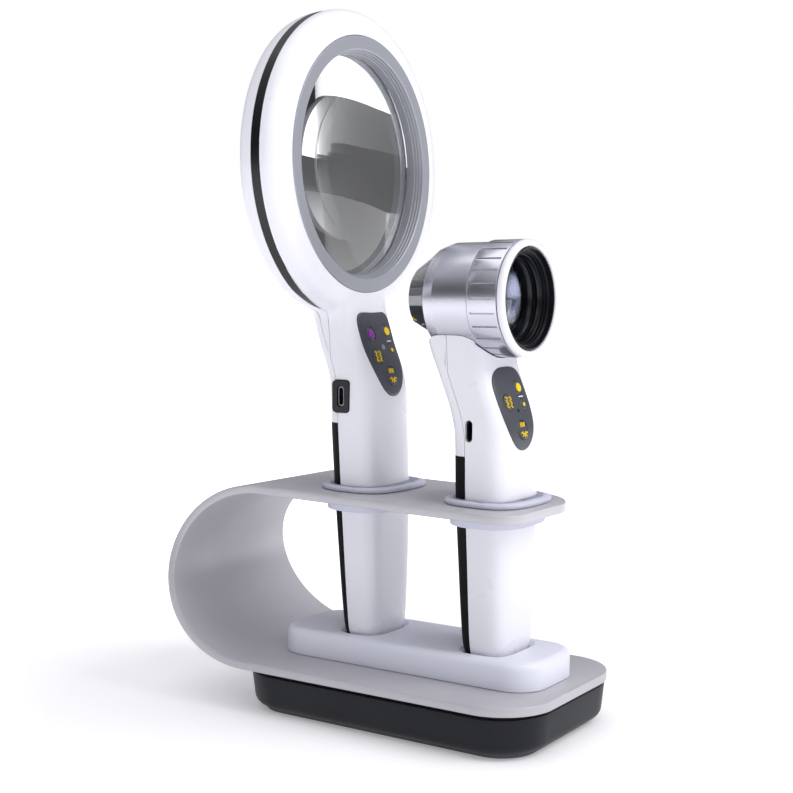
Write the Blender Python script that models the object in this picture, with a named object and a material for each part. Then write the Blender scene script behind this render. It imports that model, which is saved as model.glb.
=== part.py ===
# Charging stand with two lit examination instruments: a large hand magnifier and a focusing skin scope.
# Frame: +X is the way both instruments face and the open end of the stand, +Y is across, +Z is up.
# The origin is on the flat underside, in the middle of the footprint.
# Lengths below are millimetres and angles are degrees; meshes are written in metres.

import bpy
import bmesh
from math import acos, asin, copysign, cos, pi, radians, sin, sqrt, tan
from mathutils import Matrix, Vector

# ---- Driving dimensions -------------------------------------------------------------------------

MM = 0.001
GAP = 0.3                      # clearance left between pieces that touch

# Everything is laid out from the bend's own axis, then moved so that the footprint is centred.
SHIFT_X = -50.5

# Base
PAD_THICK = 1.8
BASE_TOP = 20.2                # underside of the bent sheet
BASE_X0, BASE_X1 = -6.6, 152.4
BASE_HALF = 49.0
BASE_CORNER = 24.0
BASE_TAPER = 1.4               # each wall leans in this much by the bottom
BASE_CHAMFER = 5.0
BASE_WALL = 3.0
NECK_INSET = 1.6               # the step that leaves a shadow line under the sheet
NECK_HEIGHT = 1.1

# Bent sheet
SHEET = 4.1
SHEET_RISE = 87.3              # over the outside of the bend
BEND_REACH = 52.6
LOWER_END, UPPER_END = 153.6, 139.6
LOWER_HALF, UPPER_HALF = 50.0, 37.5
LOWER_CORNER = 25.8
UPPER_CORNERS = (13.0, 30.0)     # the leaf's near (-Y) and far (+Y) corners
UPPER_DROOP = 1.34             # the free upper leaf slopes down this much

# Dock
DOCK_X0, DOCK_X1 = 0.6, 143.4
DOCK_HALF = 25.0
DOCK_CORNER = 15.0
DOCK_TOP = 37.2
WELL_FLOOR = 30.0
WELL_GAP = 0.9
DOCK_ROUND = 3.5

# Collars
COLLAR_LIP = (20.6, 26.4)
COLLAR_SKIRT = (17.9, 24.3)
COLLAR_HOLE = (15.9, 22.6)
COLLAR_SQUARENESS = 2.9
LIP_HEIGHT = 2.2
SKIRT_DROP = 5.6

# Instruments
MAGNIFIER_X, SCOPE_X = 43.3, 112.0
MAGNIFIER_TURN = 3.0           # it stands a little turned in its well
WALL = 2.2
SPLIT_BACK = 4.6               # the shell seam lies this far behind the handle's middle
HANDLE_FOOT = 33.0
FOOT_CAP = 3.0
MAGNIFIER_GRIP_TOP, SCOPE_GRIP_TOP = 138.5, 126.7

# Handle stations: height, middle X, half depth (X), half width (Y)
MAGNIFIER_STATIONS = (
    (33.0, 43.6, 8.6, 14.4), (37.0, 43.6, 10.6, 16.6), (45.0, 43.5, 11.4, 17.9), (80.0, 42.8, 12.8, 20.2),
    (108.0, 42.0, 13.5, 21.4), (138.0, 40.8, 13.9, 21.7), (152.0, 40.3, 13.9, 21.4),
    (162.0, 38.8, 13.7, 21.1), (176.0, 33.6, 13.6, 21.0), (190.0, 29.8, 12.8, 21.6), (199.0, 29.6, 9.0, 22.0))
SCOPE_STATIONS = (
    (33.0, 112.3, 9.2, 14.4), (37.0, 112.3, 11.2, 16.4), (45.0, 112.2, 12.0, 17.6), (80.0, 112.0, 13.3, 19.4),
    (108.0, 111.6, 13.9, 20.4), (128.0, 111.4, 14.0, 20.5), (138.0, 110.8, 13.9, 20.4),
    (148.0, 108.2, 13.7, 20.3), (162.0, 102.9, 13.8, 20.2), (176.0, 98.4, 15.2, 20.1), (188.0, 96.5, 16.0, 20.0))
MAGNIFIER_SQUARENESS, SCOPE_SQUARENESS = 3.0, 3.8

# Magnifier head, turned about a level axis
HEAD_Z = 261.2
HEAD_RADIUS = 73.5
HEAD_BACK, HEAD_FRONT = 16.6, 38.8
BAND_X0, BAND_X1 = 25.0, 29.8
BAND_GAP_ANGLE = 20.0
BEZEL_RADIUS, BEZEL_BORE = 60.8, 54.0
LENS_RADIUS = 54.0

# Scope head, turned about a level axis
BARREL_Z = 197.4
BARREL_RADIUS = 25.7
BARREL_BACK, BARREL_FRONT = 86.0, 110.4
RING_X0, RING_X1 = 110.7, 125.8
RING_RADIUS = 26.6
RIM_X1 = 129.4
SLEEVE_RADIUS, SLEEVE_BORE = 22.6, 21.2
CELL_X0, CELL_X1 = 107.0, 119.6
CAP_BACK = 72.8

# Control panels: centre height, half width, half height; button places as (across, up) from the centre
PANEL_THICK = 1.1
PANEL_PROUD = 0.25
BUTTON_PROUD = 0.75
BUTTON_DEPTH = 3.2
MAGNIFIER_PANEL = dict(z=171.4, half=14.2, rise=20.5, top=4.6)
SCOPE_PANEL = dict(z=147.8, half=13.8, rise=18.6, top=3.0)
PANEL_WIDEST = 0.3                # where a panel is widest, as a share of its rise above the middle
MAGNIFIER_BUTTONS = (("mag_button_violet", -7.2, 9.0, 3.6), ("mag_button_brighter", 7.2, 10.0, 3.6),
                     ("mag_button_dimmer", 7.2, 1.0, 3.2), ("mag_button_polariser", -6.8, -1.6, 3.8),
                     ("mag_button_light_mode", 0.0, -11.0, 4.6))
SCOPE_BUTTONS = (("scope_button_polariser", -6.2, 3.0, 3.8), ("scope_button_brighter", 6.4, 9.0, 3.2),
                 ("scope_button_dimmer", 6.4, 1.4, 2.8), ("scope_button_light_mode", 0.4, -9.6, 4.4))

# Charging ports on the -Y side: height and X
PORT_HALF_HEIGHT, PORT_HALF_WIDTH = 4.7, 1.7
MAGNIFIER_PORT = (38.0, 151.3)
SCOPE_PORT = (108.8, 138.3)
PORT_PLATE_HALF = (4.9, 7.9)

# Fineness of the round pieces
HEAD_STEPS, BARREL_STEPS = 36, 26
HANDLE_STEP = 18.0
BEND_STEPS = 20

# The exact solver leaves slivers open on these two, whose seams run close to their cutters
STUBBORN = ("mag_front_shell", "mag_rear_shell")

# ---- Scene and helpers --------------------------------------------------------------------------

for old in list(bpy.data.objects):
    bpy.data.objects.remove(old, do_unlink=True)


def linear(channel):
    return channel / 12.92 if channel <= 0.04045 else ((channel + 0.055) / 1.055) ** 2.4


def finish(name, colour, roughness, metallic=0.0, clear=0.0):
    material = bpy.data.materials.new(name)
    material.use_nodes = True
    shader = material.node_tree.nodes["Principled BSDF"]
    rgb = [linear(int(colour[i:i + 2], 16) / 255) for i in (1, 3, 5)]
    shader.inputs["Base Color"].default_value = (*rgb, 1.0)
    shader.inputs["Roughness"].default_value = roughness
    shader.inputs["Metallic"].default_value = metallic
    shader.inputs["Transmission Weight"].default_value = clear
    return material


def empty(name, x):
    frame = bpy.data.objects.new(name, None)
    frame.location = (x * MM, 0.0, 0.0)
    bpy.context.collection.objects.link(frame)
    return frame


STAND = empty("stand_frame", SHIFT_X)
MAGNIFIER = empty("magnifier_frame", SHIFT_X + MAGNIFIER_X)
MAGNIFIER.rotation_euler = (0.0, 0.0, radians(MAGNIFIER_TURN))
SCOPE = empty("scope_frame", SHIFT_X + SCOPE_X)
FRAME_X = {STAND: 0.0, MAGNIFIER: MAGNIFIER_X, SCOPE: SCOPE_X}


def add_object(name, mesh, frame, look=None, pivot=(0.0, 0.0, 0.0)):
    """Adds a mesh whose points are millimetres from its pivot, a point of the layout."""
    mesh.transform(Matrix.Diagonal((MM, MM, MM, 1.0)))
    body = bpy.data.objects.new(name, mesh)
    bpy.context.collection.objects.link(body)
    body.parent = frame
    x, y, z = pivot
    body.location = ((x - FRAME_X[frame]) * MM, y * MM, z * MM)
    if look:
        mesh.materials.append(look)
    else:
        body.hide_render = True
        body.display_type = "WIRE"
    return body


def to_mesh(name, bm, pivot):
    bmesh.ops.remove_doubles(bm, verts=bm.verts, dist=1e-4)
    bmesh.ops.recalc_face_normals(bm, faces=bm.faces)
    bmesh.ops.translate(bm, verts=bm.verts, vec=-Vector(pivot))
    mesh = bpy.data.meshes.new(name)
    bm.to_mesh(mesh)
    bm.free()
    mesh.shade_smooth()
    mesh.set_sharp_from_angle(angle=radians(32))
    return mesh


def boolean(body, other, operation="DIFFERENCE"):
    modifier = body.modifiers.new(other.name, "BOOLEAN")
    modifier.operation = operation
    modifier.solver = "MANIFOLD" if body.name in STUBBORN else "EXACT"
    modifier.object = other


def loft(name, loops, frame, look=None, pivot=(0.0, 0.0, 0.0)):
    """Skins closed loops of equal length and closes both ends."""
    bm = bmesh.new()
    rows = [[bm.verts.new(point) for point in loop] for loop in loops]
    for low, high in zip(rows, rows[1:]):
        for k in range(len(low)):
            n = (k + 1) % len(low)
            bm.faces.new((low[k], low[n], high[n], high[k]))
    bm.faces.new(rows[0])
    bm.faces.new(rows[-1])
    return add_object(name, to_mesh(name, bm, pivot), frame, look, pivot)


def turned(name, profile, height, frame, look=None, steps=48, arc=None):
    """Turns (x, radius) points about the level axis at that height; arc is (start, sweep) from straight down."""
    bm = bmesh.new()
    points = [bm.verts.new((x, 0.0, height - radius)) for x, radius in profile]
    edges = [bm.edges.new(pair) for pair in zip(points, points[1:])]
    centre = (0.0, 0.0, height)
    axis = (1.0, 0.0, 0.0)
    if profile[0][1] > 0.0:
        edges.append(bm.edges.new((points[-1], points[0])))
    if arc:
        start, sweep = radians(arc[0]), radians(arc[1])
        face = bm.faces.new(points)
        bmesh.ops.rotate(bm, verts=bm.verts, cent=centre, matrix=Matrix.Rotation(start, 3, "X"))
        bmesh.ops.spin(bm, geom=[face], cent=centre, axis=axis, angle=sweep, steps=steps)
    else:
        bmesh.ops.spin(bm, geom=points + edges, cent=centre, axis=axis, angle=2 * pi, steps=steps, use_merge=True)
    pivot = (profile[0][0], 0.0, height)
    return add_object(name, to_mesh(name, bm, pivot), frame, look, pivot)


def rounded_outline(x0, x1, half, corner, z, steps=6):
    """A level rectangle with round corners, counter-clockwise from above."""
    outline = []
    for cx, cy, start in ((x1 - corner, half - corner, 0), (x0 + corner, half - corner, 90),
                          (x0 + corner, corner - half, 180), (x1 - corner, corner - half, 270)):
        for k in range(steps + 1):
            angle = radians(start + 90 * k / steps)
            outline.append((cx + corner * cos(angle), cy + corner * sin(angle), z))
    return outline


def box(name, low, high, frame, look=None, tilt=0.0):
    """A plain block, turned by tilt about the level axis through its middle."""
    bm = bmesh.new()
    bmesh.ops.create_cube(bm, size=1.0)
    bmesh.ops.scale(bm, verts=bm.verts, vec=[b - a for a, b in zip(low, high)])
    middle = Vector([(a + b) / 2 for a, b in zip(low, high)])
    bmesh.ops.rotate(bm, verts=bm.verts, cent=(0, 0, 0), matrix=Matrix.Rotation(radians(tilt), 3, "Y"))
    bmesh.ops.translate(bm, verts=bm.verts, vec=middle)
    return add_object(name, to_mesh(name, bm, middle), frame, look, tuple(middle))


def peg(name, base, direction, radius, length, frame, look=None, steps=12):
    """A plain cylinder that starts at base and runs along direction."""
    bm = bmesh.new()
    bmesh.ops.create_cone(bm, cap_ends=True, segments=steps, radius1=radius, radius2=radius, depth=length)
    bmesh.ops.translate(bm, verts=bm.verts, vec=(0.0, 0.0, length / 2))
    turn = Vector(direction).to_track_quat("Z", "Y").to_matrix()
    bmesh.ops.rotate(bm, verts=bm.verts, cent=(0, 0, 0), matrix=turn)
    bmesh.ops.translate(bm, verts=bm.verts, vec=base)
    return add_object(name, to_mesh(name, bm, base), frame, look, tuple(base))


def oval(cx, a, b, squareness, z, steps=24, t0=-pi, t1=pi):
    """Points on a rounded-square oval; a whole turn leaves out its last point."""
    whole = abs(t1 - t0 - 2 * pi) < 1e-6
    points = []
    for k in range(steps if whole else steps + 1):
        t = t0 + (t1 - t0) * k / steps
        x = copysign(abs(cos(t)) ** (2 / squareness), cos(t))
        y = copysign(abs(sin(t)) ** (2 / squareness), sin(t))
        points.append((cx + a * x, b * y, z))
    return points


# ---- Finishes -----------------------------------------------------------------------------------

WHITE = finish("white_abs", "#F1F1F5", 0.34)
SHEET_PAINT = finish("silver_painted_sheet", "#C9C7C8", 0.45, 0.25)
BASE_PAINT = finish("anthracite_abs", "#2B2C36", 0.42)
PAD = finish("grey_rubber", "#6B6B73", 0.85)
COLLAR = finish("lilac_grey_silicone", "#B9B9C8", 0.5)
DOCK = finish("cool_white_abs", "#E6E6F4", 0.4)
GRIP = finish("black_elastomer", "#1C1C24", 0.7)
TRIM = finish("black_gloss_trim", "#15151B", 0.25)
BEZEL = finish("grey_painted_ring", "#9A9AA3", 0.4, 0.5)
GLASS = finish("optical_glass", "#F4F6F8", 0.02, 0.0, 1.0)
PANEL = finish("grey_panel_film", "#454750", 0.5)
YELLOW = finish("yellow_key", "#E3C61E", 0.5)
VIOLET = finish("violet_key", "#6A2B72", 0.5)
ALUMINIUM = finish("satin_aluminium", "#B4B4BC", 0.32, 0.95)
BLACK = finish("black_anodised", "#17171D", 0.35, 0.3)
CIRCUIT = finish("green_circuit_board", "#1F5B3A", 0.6)
CELL = finish("battery_wrap", "#3A5FA8", 0.5)
COPPER = finish("copper_winding", "#B87333", 0.35, 1.0)
STEEL = finish("steel", "#8C8C90", 0.35, 1.0)
DIFFUSER = finish("frosted_acrylic", "#F2F2EE", 0.6, 0.0, 0.4)


# ---- Stand --------------------------------------------------------------------------------------

def corner_inset(from_end, corner):
    """How far a rounded corner draws the edge in, at that distance from the sheet's end."""
    return corner - sqrt(corner**2 - (corner - min(from_end, corner))**2)


def sheet_path():
    """Outside and inside points of the bent sheet, with its near and far half widths, from end to end."""
    path = []
    for k in range(9):
        from_end = LOWER_CORNER * (1 - cos(pi / 2 * k / 8))
        half = LOWER_HALF - corner_inset(from_end, LOWER_CORNER)
        x = LOWER_END - from_end
        path.append(((x, BASE_TOP), (x, BASE_TOP + SHEET), half, half))
    path.append(((0.0, BASE_TOP), (0.0, BASE_TOP + SHEET), LOWER_HALF, LOWER_HALF))
    rise = SHEET_RISE / 2
    for k in range(1, BEND_STEPS):
        share = k / BEND_STEPS
        angle = pi * share
        blend = share - sin(2 * pi * share) / (2 * pi)
        half = LOWER_HALF + (UPPER_HALF - LOWER_HALF) * blend
        outer = (-BEND_REACH * sin(angle), BASE_TOP + rise - rise * cos(angle))
        inner = (-(BEND_REACH - SHEET) * sin(angle), BASE_TOP + rise - (rise - SHEET) * cos(angle))
        path.append((outer, inner, half, half))
    near, far = UPPER_CORNERS
    distances = [UPPER_END] + [far * (1 - sin(pi / 2 * k / 9)) for k in range(10)]
    for from_end in distances:
        x = UPPER_END - from_end
        top = upper_leaf_top(x)
        halves = [UPPER_HALF - corner_inset(from_end, corner) for corner in (near, far)]
        path.append(((x, top), (x, top - SHEET), *halves))
    return path


def upper_leaf_top(x):
    return BASE_TOP + SHEET_RISE - x * tan(radians(UPPER_DROOP))


def make_sheet():
    loops = []
    for (ox, oz), (ix, iz), near, far in sheet_path():
        loops.append([(ox, -near, oz), (ox, far, oz), (ix, far, iz), (ix, -near, iz)])
    body = loft("stand_sheet", loops, STAND, SHEET_PAINT)
    for x, tag in ((MAGNIFIER_X, "large"), (SCOPE_X + 0.6, "small")):
        a, b = COLLAR_SKIRT
        reach = [oval(x, a + GAP, b + GAP, COLLAR_SQUARENESS, upper_leaf_top(x) + z) for z in (-12.0, 12.0)]
        boolean(body, loft("collar_hole_" + tag, reach, STAND))


def make_collar(name, x):
    """A lip on the sheet, a skirt through it and a hole for the handle, all as one turned-in ring."""
    lip, skirt, hole = COLLAR_LIP, COLLAR_SKIRT, COLLAR_HOLE
    top = GAP + LIP_HEIGHT
    low = -SHEET - SKIRT_DROP
    rings = [(hole, top - 0.6), ((hole[0] + 0.8, hole[1] + 0.8), top), ((lip[0] - 1.0, lip[1] - 1.0), top),
             (lip, top - 1.0), (lip, GAP), (skirt, GAP), (skirt, low), (hole, low)]
    bm = bmesh.new()
    rows = [[bm.verts.new(p) for p in oval(0.0, a, b, COLLAR_SQUARENESS, z)] for (a, b), z in rings]
    for low_row, high_row in zip(rows, rows[1:] + rows[:1]):
        for k in range(len(low_row)):
            n = (k + 1) % len(low_row)
            bm.faces.new((low_row[k], low_row[n], high_row[n], high_row[k]))
    body = add_object(name, to_mesh(name, bm, (0, 0, 0)), STAND, COLLAR, (x, 0.0, upper_leaf_top(x)))
    body.rotation_euler = (0.0, radians(UPPER_DROOP), 0.0)


def base_ring(inset, z):
    corner = max(BASE_CORNER - inset, 2.0)
    return rounded_outline(BASE_X0 + inset, BASE_X1 - inset, BASE_HALF - inset, corner, z)


def make_base():
    low = PAD_THICK + GAP
    shoulder = BASE_TOP - GAP - NECK_HEIGHT
    outline = []
    for k in range(4):
        angle = pi / 2 * k / 3
        outline.append((BASE_TAPER + BASE_CHAMFER * (1 - sin(angle)), low + BASE_CHAMFER * (1 - cos(angle))))
    outline += [(0.0, shoulder), (NECK_INSET, shoulder), (NECK_INSET, BASE_TOP - GAP)]
    body = loft("base_housing", [base_ring(inset, z) for inset, z in outline], STAND, BASE_PAINT)
    hollow = BASE_TAPER + BASE_CHAMFER + BASE_WALL
    boolean(body, loft("base_hollow", [base_ring(hollow, z) for z in (-2.0, shoulder - BASE_WALL)], STAND))
    boolean(body, box("socket_slot", (66.3, 30.0, 9.0), (79.7, 60.0, 14.6), STAND))

    pad_inset = BASE_TAPER + BASE_CHAMFER + 0.6
    pad = loft("base_foot_pad", [base_ring(pad_inset, z) for z in (0.0, PAD_THICK)], STAND, PAD)
    box("base_ballast", (14.0, -26.0, PAD_THICK + GAP), (60.0, 26.0, 13.0), STAND, STEEL)
    box("base_power_socket", (66.6, 33.0, 9.3), (79.4, 46.6, 14.3), STAND, BLACK)
    boolean(bpy.data.objects["base_power_socket"], box("socket_mouth", (68.6, 38.0, 10.6), (77.4, 60.0, 13.0), STAND))
    box("base_charger_board", (64.0, -26.0, 6.0), (82.0, 32.4, 7.6), STAND, CIRCUIT)
    for number, (x, y) in enumerate(((8.0, -30.0), (8.0, 30.0), (138.0, -30.0), (138.0, 30.0)), 1):
        boolean(pad, peg("pad_hole_%d" % number, (x, y, -2.0), (0, 0, 1), 3.4, 8.0, STAND))
        peg("base_screw_%d" % number, (x, y, 0.6), (0, 0, 1), 3.0, 11.0, STAND, STEEL)


def station(stations, z):
    """Middle, half depth and half width of a handle at one height, by a smooth curve through its stations."""
    last = len(stations) - 1
    k = max(0, min(last - 1, sum(1 for s in stations if s[0] <= z) - 1))
    before, low, high, after = (stations[max(0, min(last, j))] for j in (k - 1, k, k + 1, k + 2))
    span = high[0] - low[0]
    t = max(0.0, min(1.0, (z - low[0]) / span))
    values = []
    for c in (1, 2, 3):
        m0 = (high[c] - before[c]) / (high[0] - before[0]) * span
        m1 = (after[c] - low[c]) / (after[0] - low[0]) * span
        values.append((2 * t**3 - 3 * t**2 + 1) * low[c] + (t**3 - 2 * t**2 + t) * m0
                      + (3 * t**2 - 2 * t**3) * high[c] + (t**3 - t**2) * m1)
    return values


def make_dock():
    r = DOCK_ROUND
    low = BASE_TOP + SHEET + GAP
    outline = [(0.0, low)]
    for k in range(4):
        angle = pi / 2 * k / 3
        outline.append((0.8 + r * (1 - cos(angle)), DOCK_TOP - r * (1 - sin(angle))))
    loops = [rounded_outline(DOCK_X0 + i, DOCK_X1 - i, DOCK_HALF - i, DOCK_CORNER - i, z) for i, z in outline]
    body = loft("dock_cover", loops, STAND, DOCK)
    under = [rounded_outline(DOCK_X0 + 4, DOCK_X1 - 4, DOCK_HALF - 4, DOCK_CORNER - 4, z)
             for z in (low - 2.0, WELL_FLOOR - 2.0)]
    boolean(body, loft("dock_hollow", under, STAND))
    for tag, stations, squareness, frame in (("large", MAGNIFIER_STATIONS, MAGNIFIER_SQUARENESS, MAGNIFIER),
                                             ("small", SCOPE_STATIONS, SCOPE_SQUARENESS, SCOPE)):
        loops = []
        for z in (WELL_FLOOR, HANDLE_FOOT, 35.0, DOCK_TOP, DOCK_TOP + 3.0):
            cx, a, b = station(stations, z)
            loops.append(oval(cx, a + WELL_GAP, b + WELL_GAP, squareness, z))
        boolean(body, loft("well_" + tag, loops, frame))
        middle = stations[0][1]
        coil = [oval(middle, a, b, 2.0, z) for a, b, z in ((7.6, 7.6, 25.6), (7.6, 7.6, 27.6))]
        loft("dock_coil_" + tag, coil, frame, COPPER)


# ---- Handles ------------------------------------------------------------------------------------

def half_loop(station_values, squareness, z, front):
    """One half of a hollow handle as a level C-shaped loop, cut off at the seam."""
    cx, a, b = station_values
    seam = SPLIT_BACK - (GAP / 2 if front else -GAP / 2)

    def limit(depth):
        return pi - acos(min(0.999, seam / depth) ** (squareness / 2))

    outer_t, inner_t = limit(a), limit(a - WALL)
    if front:
        outer = oval(cx, a, b, squareness, z, 12, -outer_t, outer_t)
        inner = oval(cx, a - WALL, b - WALL, squareness, z, 12, inner_t, -inner_t)
    else:
        outer = oval(cx, a, b, squareness, z, 7, outer_t, 2 * pi - outer_t)
        inner = oval(cx, a - WALL, b - WALL, squareness, z, 7, 2 * pi - inner_t, inner_t)
    return outer + inner


def handle_half(name, stations, squareness, z0, z1, front, frame, look=None):
    heights = [z0] + [s[0] for s in stations if z0 + 1.5 < s[0] < z1 - 1.5] + [z1]
    fine = []
    for low, high in zip(heights, heights[1:]):
        count = max(1, round((high - low) / HANDLE_STEP))
        fine += [low + (high - low) * k / count for k in range(count)]
    fine.append(z1)
    loops = [half_loop(station(stations, z), squareness, z, front) for z in fine]
    return loft(name, loops, frame, look)


def surface_x(stations, squareness, y, z):
    cx, a, b = station(stations, z)
    return cx + a * (1 - min(0.98, abs(y) / b) ** squareness) ** (1 / squareness)


def panel_solid(name, panel, stations, squareness, proud, depth, margin, frame, look=None):
    """A thin plate that follows the handle's front, with a bullet-shaped outline that narrows downwards."""
    rim = 20
    bm = bmesh.new()
    sides = []
    for offset in (proud, -depth):
        rings = []
        for share in (1.0, 0.55):
            ring = []
            for k in range(rim):
                t = 2 * pi * k / rim
                square, reach = (panel["top"], 1 - PANEL_WIDEST) if sin(t) > 0 else (2.2, 1 + PANEL_WIDEST)
                across = copysign(abs(cos(t)) ** (2 / square), cos(t))
                up = PANEL_WIDEST + reach * copysign(abs(sin(t)) ** (2 / square), sin(t))
                y = (panel["half"] + margin) * across * share
                z = panel["z"] + (panel["rise"] + margin) * up * share
                ring.append(bm.verts.new((surface_x(stations, squareness, y, z) + offset, y, z)))
            rings.append(ring)
        centre = bm.verts.new((surface_x(stations, squareness, 0.0, panel["z"]) + offset, 0.0, panel["z"]))
        for outer, inner in zip(rings, rings[1:]):
            for k in range(rim):
                n = (k + 1) % rim
                bm.faces.new((outer[k], outer[n], inner[n], inner[k]))
        for k in range(rim):
            bm.faces.new((rings[-1][k], rings[-1][(k + 1) % rim], centre))
        sides.append(rings[0])
    for k in range(rim):
        n = (k + 1) % rim
        bm.faces.new((sides[0][k], sides[0][n], sides[1][n], sides[1][k]))
    return add_object(name, to_mesh(name, bm, (0, 0, 0)), frame, look)


def panel_slope(panel, stations, squareness):
    """The front's unit normal at the panel's middle."""
    high = surface_x(stations, squareness, 0.0, panel["z"] + panel["rise"] * 0.6)
    low = surface_x(stations, squareness, 0.0, panel["z"] - panel["rise"] * 0.6)
    return Vector((panel["rise"] * 1.2, 0.0, low - high)).normalized()


def make_controls(prefix, panel, buttons, stations, squareness, frame, shell):
    normal = panel_slope(panel, stations, squareness)
    boolean(shell, panel_solid(prefix + "_panel_recess", panel, stations, squareness, 4.0,
                               PANEL_THICK + GAP, GAP, frame))
    plate = panel_solid(prefix + "_panel", panel, stations, squareness, PANEL_PROUD, PANEL_THICK, 0.0, frame, PANEL)
    for name, across, up, radius in buttons:
        z = panel["z"] + up
        face = Vector((surface_x(stations, squareness, across, z), across, z))
        base = face - normal * BUTTON_DEPTH
        hole = peg(name + "_hole", face - normal * 9.0, normal, radius + GAP, 16.0, frame, None, 12)
        boolean(plate, hole)
        boolean(shell, hole)
        look = VIOLET if "violet" in name else PANEL
        peg(name, base, normal, radius, BUTTON_DEPTH + BUTTON_PROUD, frame, look, 12)
    behind = Vector((surface_x(stations, squareness, 0.0, panel["z"]), 0.0, panel["z"])) - normal * 6.6
    size = (0.8, 11.0, panel["rise"] - 4.0)
    tilt = asin(normal.z) * 180 / pi
    box(prefix + "_switch_board", [c - s for c, s in zip(behind, size)], [c + s for c, s in zip(behind, size)],
        frame, CIRCUIT, -tilt)


def port_hole(name, x, z, y0, y1, margin, frame, look=None):
    """A stadium-shaped plug along Y."""
    loops = []
    half_h, half_w = PORT_HALF_HEIGHT + margin, PORT_HALF_WIDTH + margin
    for y in (y0, y1):
        loop = []
        for side in (1, -1):
            for k in range(7):
                angle = radians(180 * k / 6)
                loop.append((x + side * half_w * cos(angle), y, z + side * (half_h - half_w + half_w * sin(angle))))
        loops.append(loop)
    return loft(name, loops, frame, look)


def make_foot(prefix, stations, squareness, frame):
    """The cap that closes the open end of a handle, with the receiving coil on it."""
    loops = []
    for z, inset in ((HANDLE_FOOT - 1.6, 1.8), (HANDLE_FOOT - 0.3, 0.4), (HANDLE_FOOT - GAP, 0.0)):
        cx, a, b = station(stations, HANDLE_FOOT)
        loops.append(oval(cx, a - inset, b - inset, squareness, z))
    plug = station(stations, HANDLE_FOOT)
    for z in (HANDLE_FOOT - GAP + 0.01, HANDLE_FOOT + FOOT_CAP):
        loops.append(oval(plug[0], plug[1] - WALL - GAP, plug[2] - WALL - GAP, squareness, z))
    loft(prefix + "_foot_cap", loops, frame, GRIP)
    coil = [oval(plug[0], 5.2, 5.2, 2.0, z, 20) for z in (HANDLE_FOOT + FOOT_CAP + GAP, HANDLE_FOOT + FOOT_CAP + 2.0)]
    loft(prefix + "_charge_coil", coil, frame, COPPER)
    peg(prefix + "_battery", (plug[0] - 0.2, 0.0, HANDLE_FOOT + FOOT_CAP + 5.0), (0, 0, 1), 7.0, 50.0, frame, CELL)


# ---- Magnifier ----------------------------------------------------------------------------------

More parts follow.
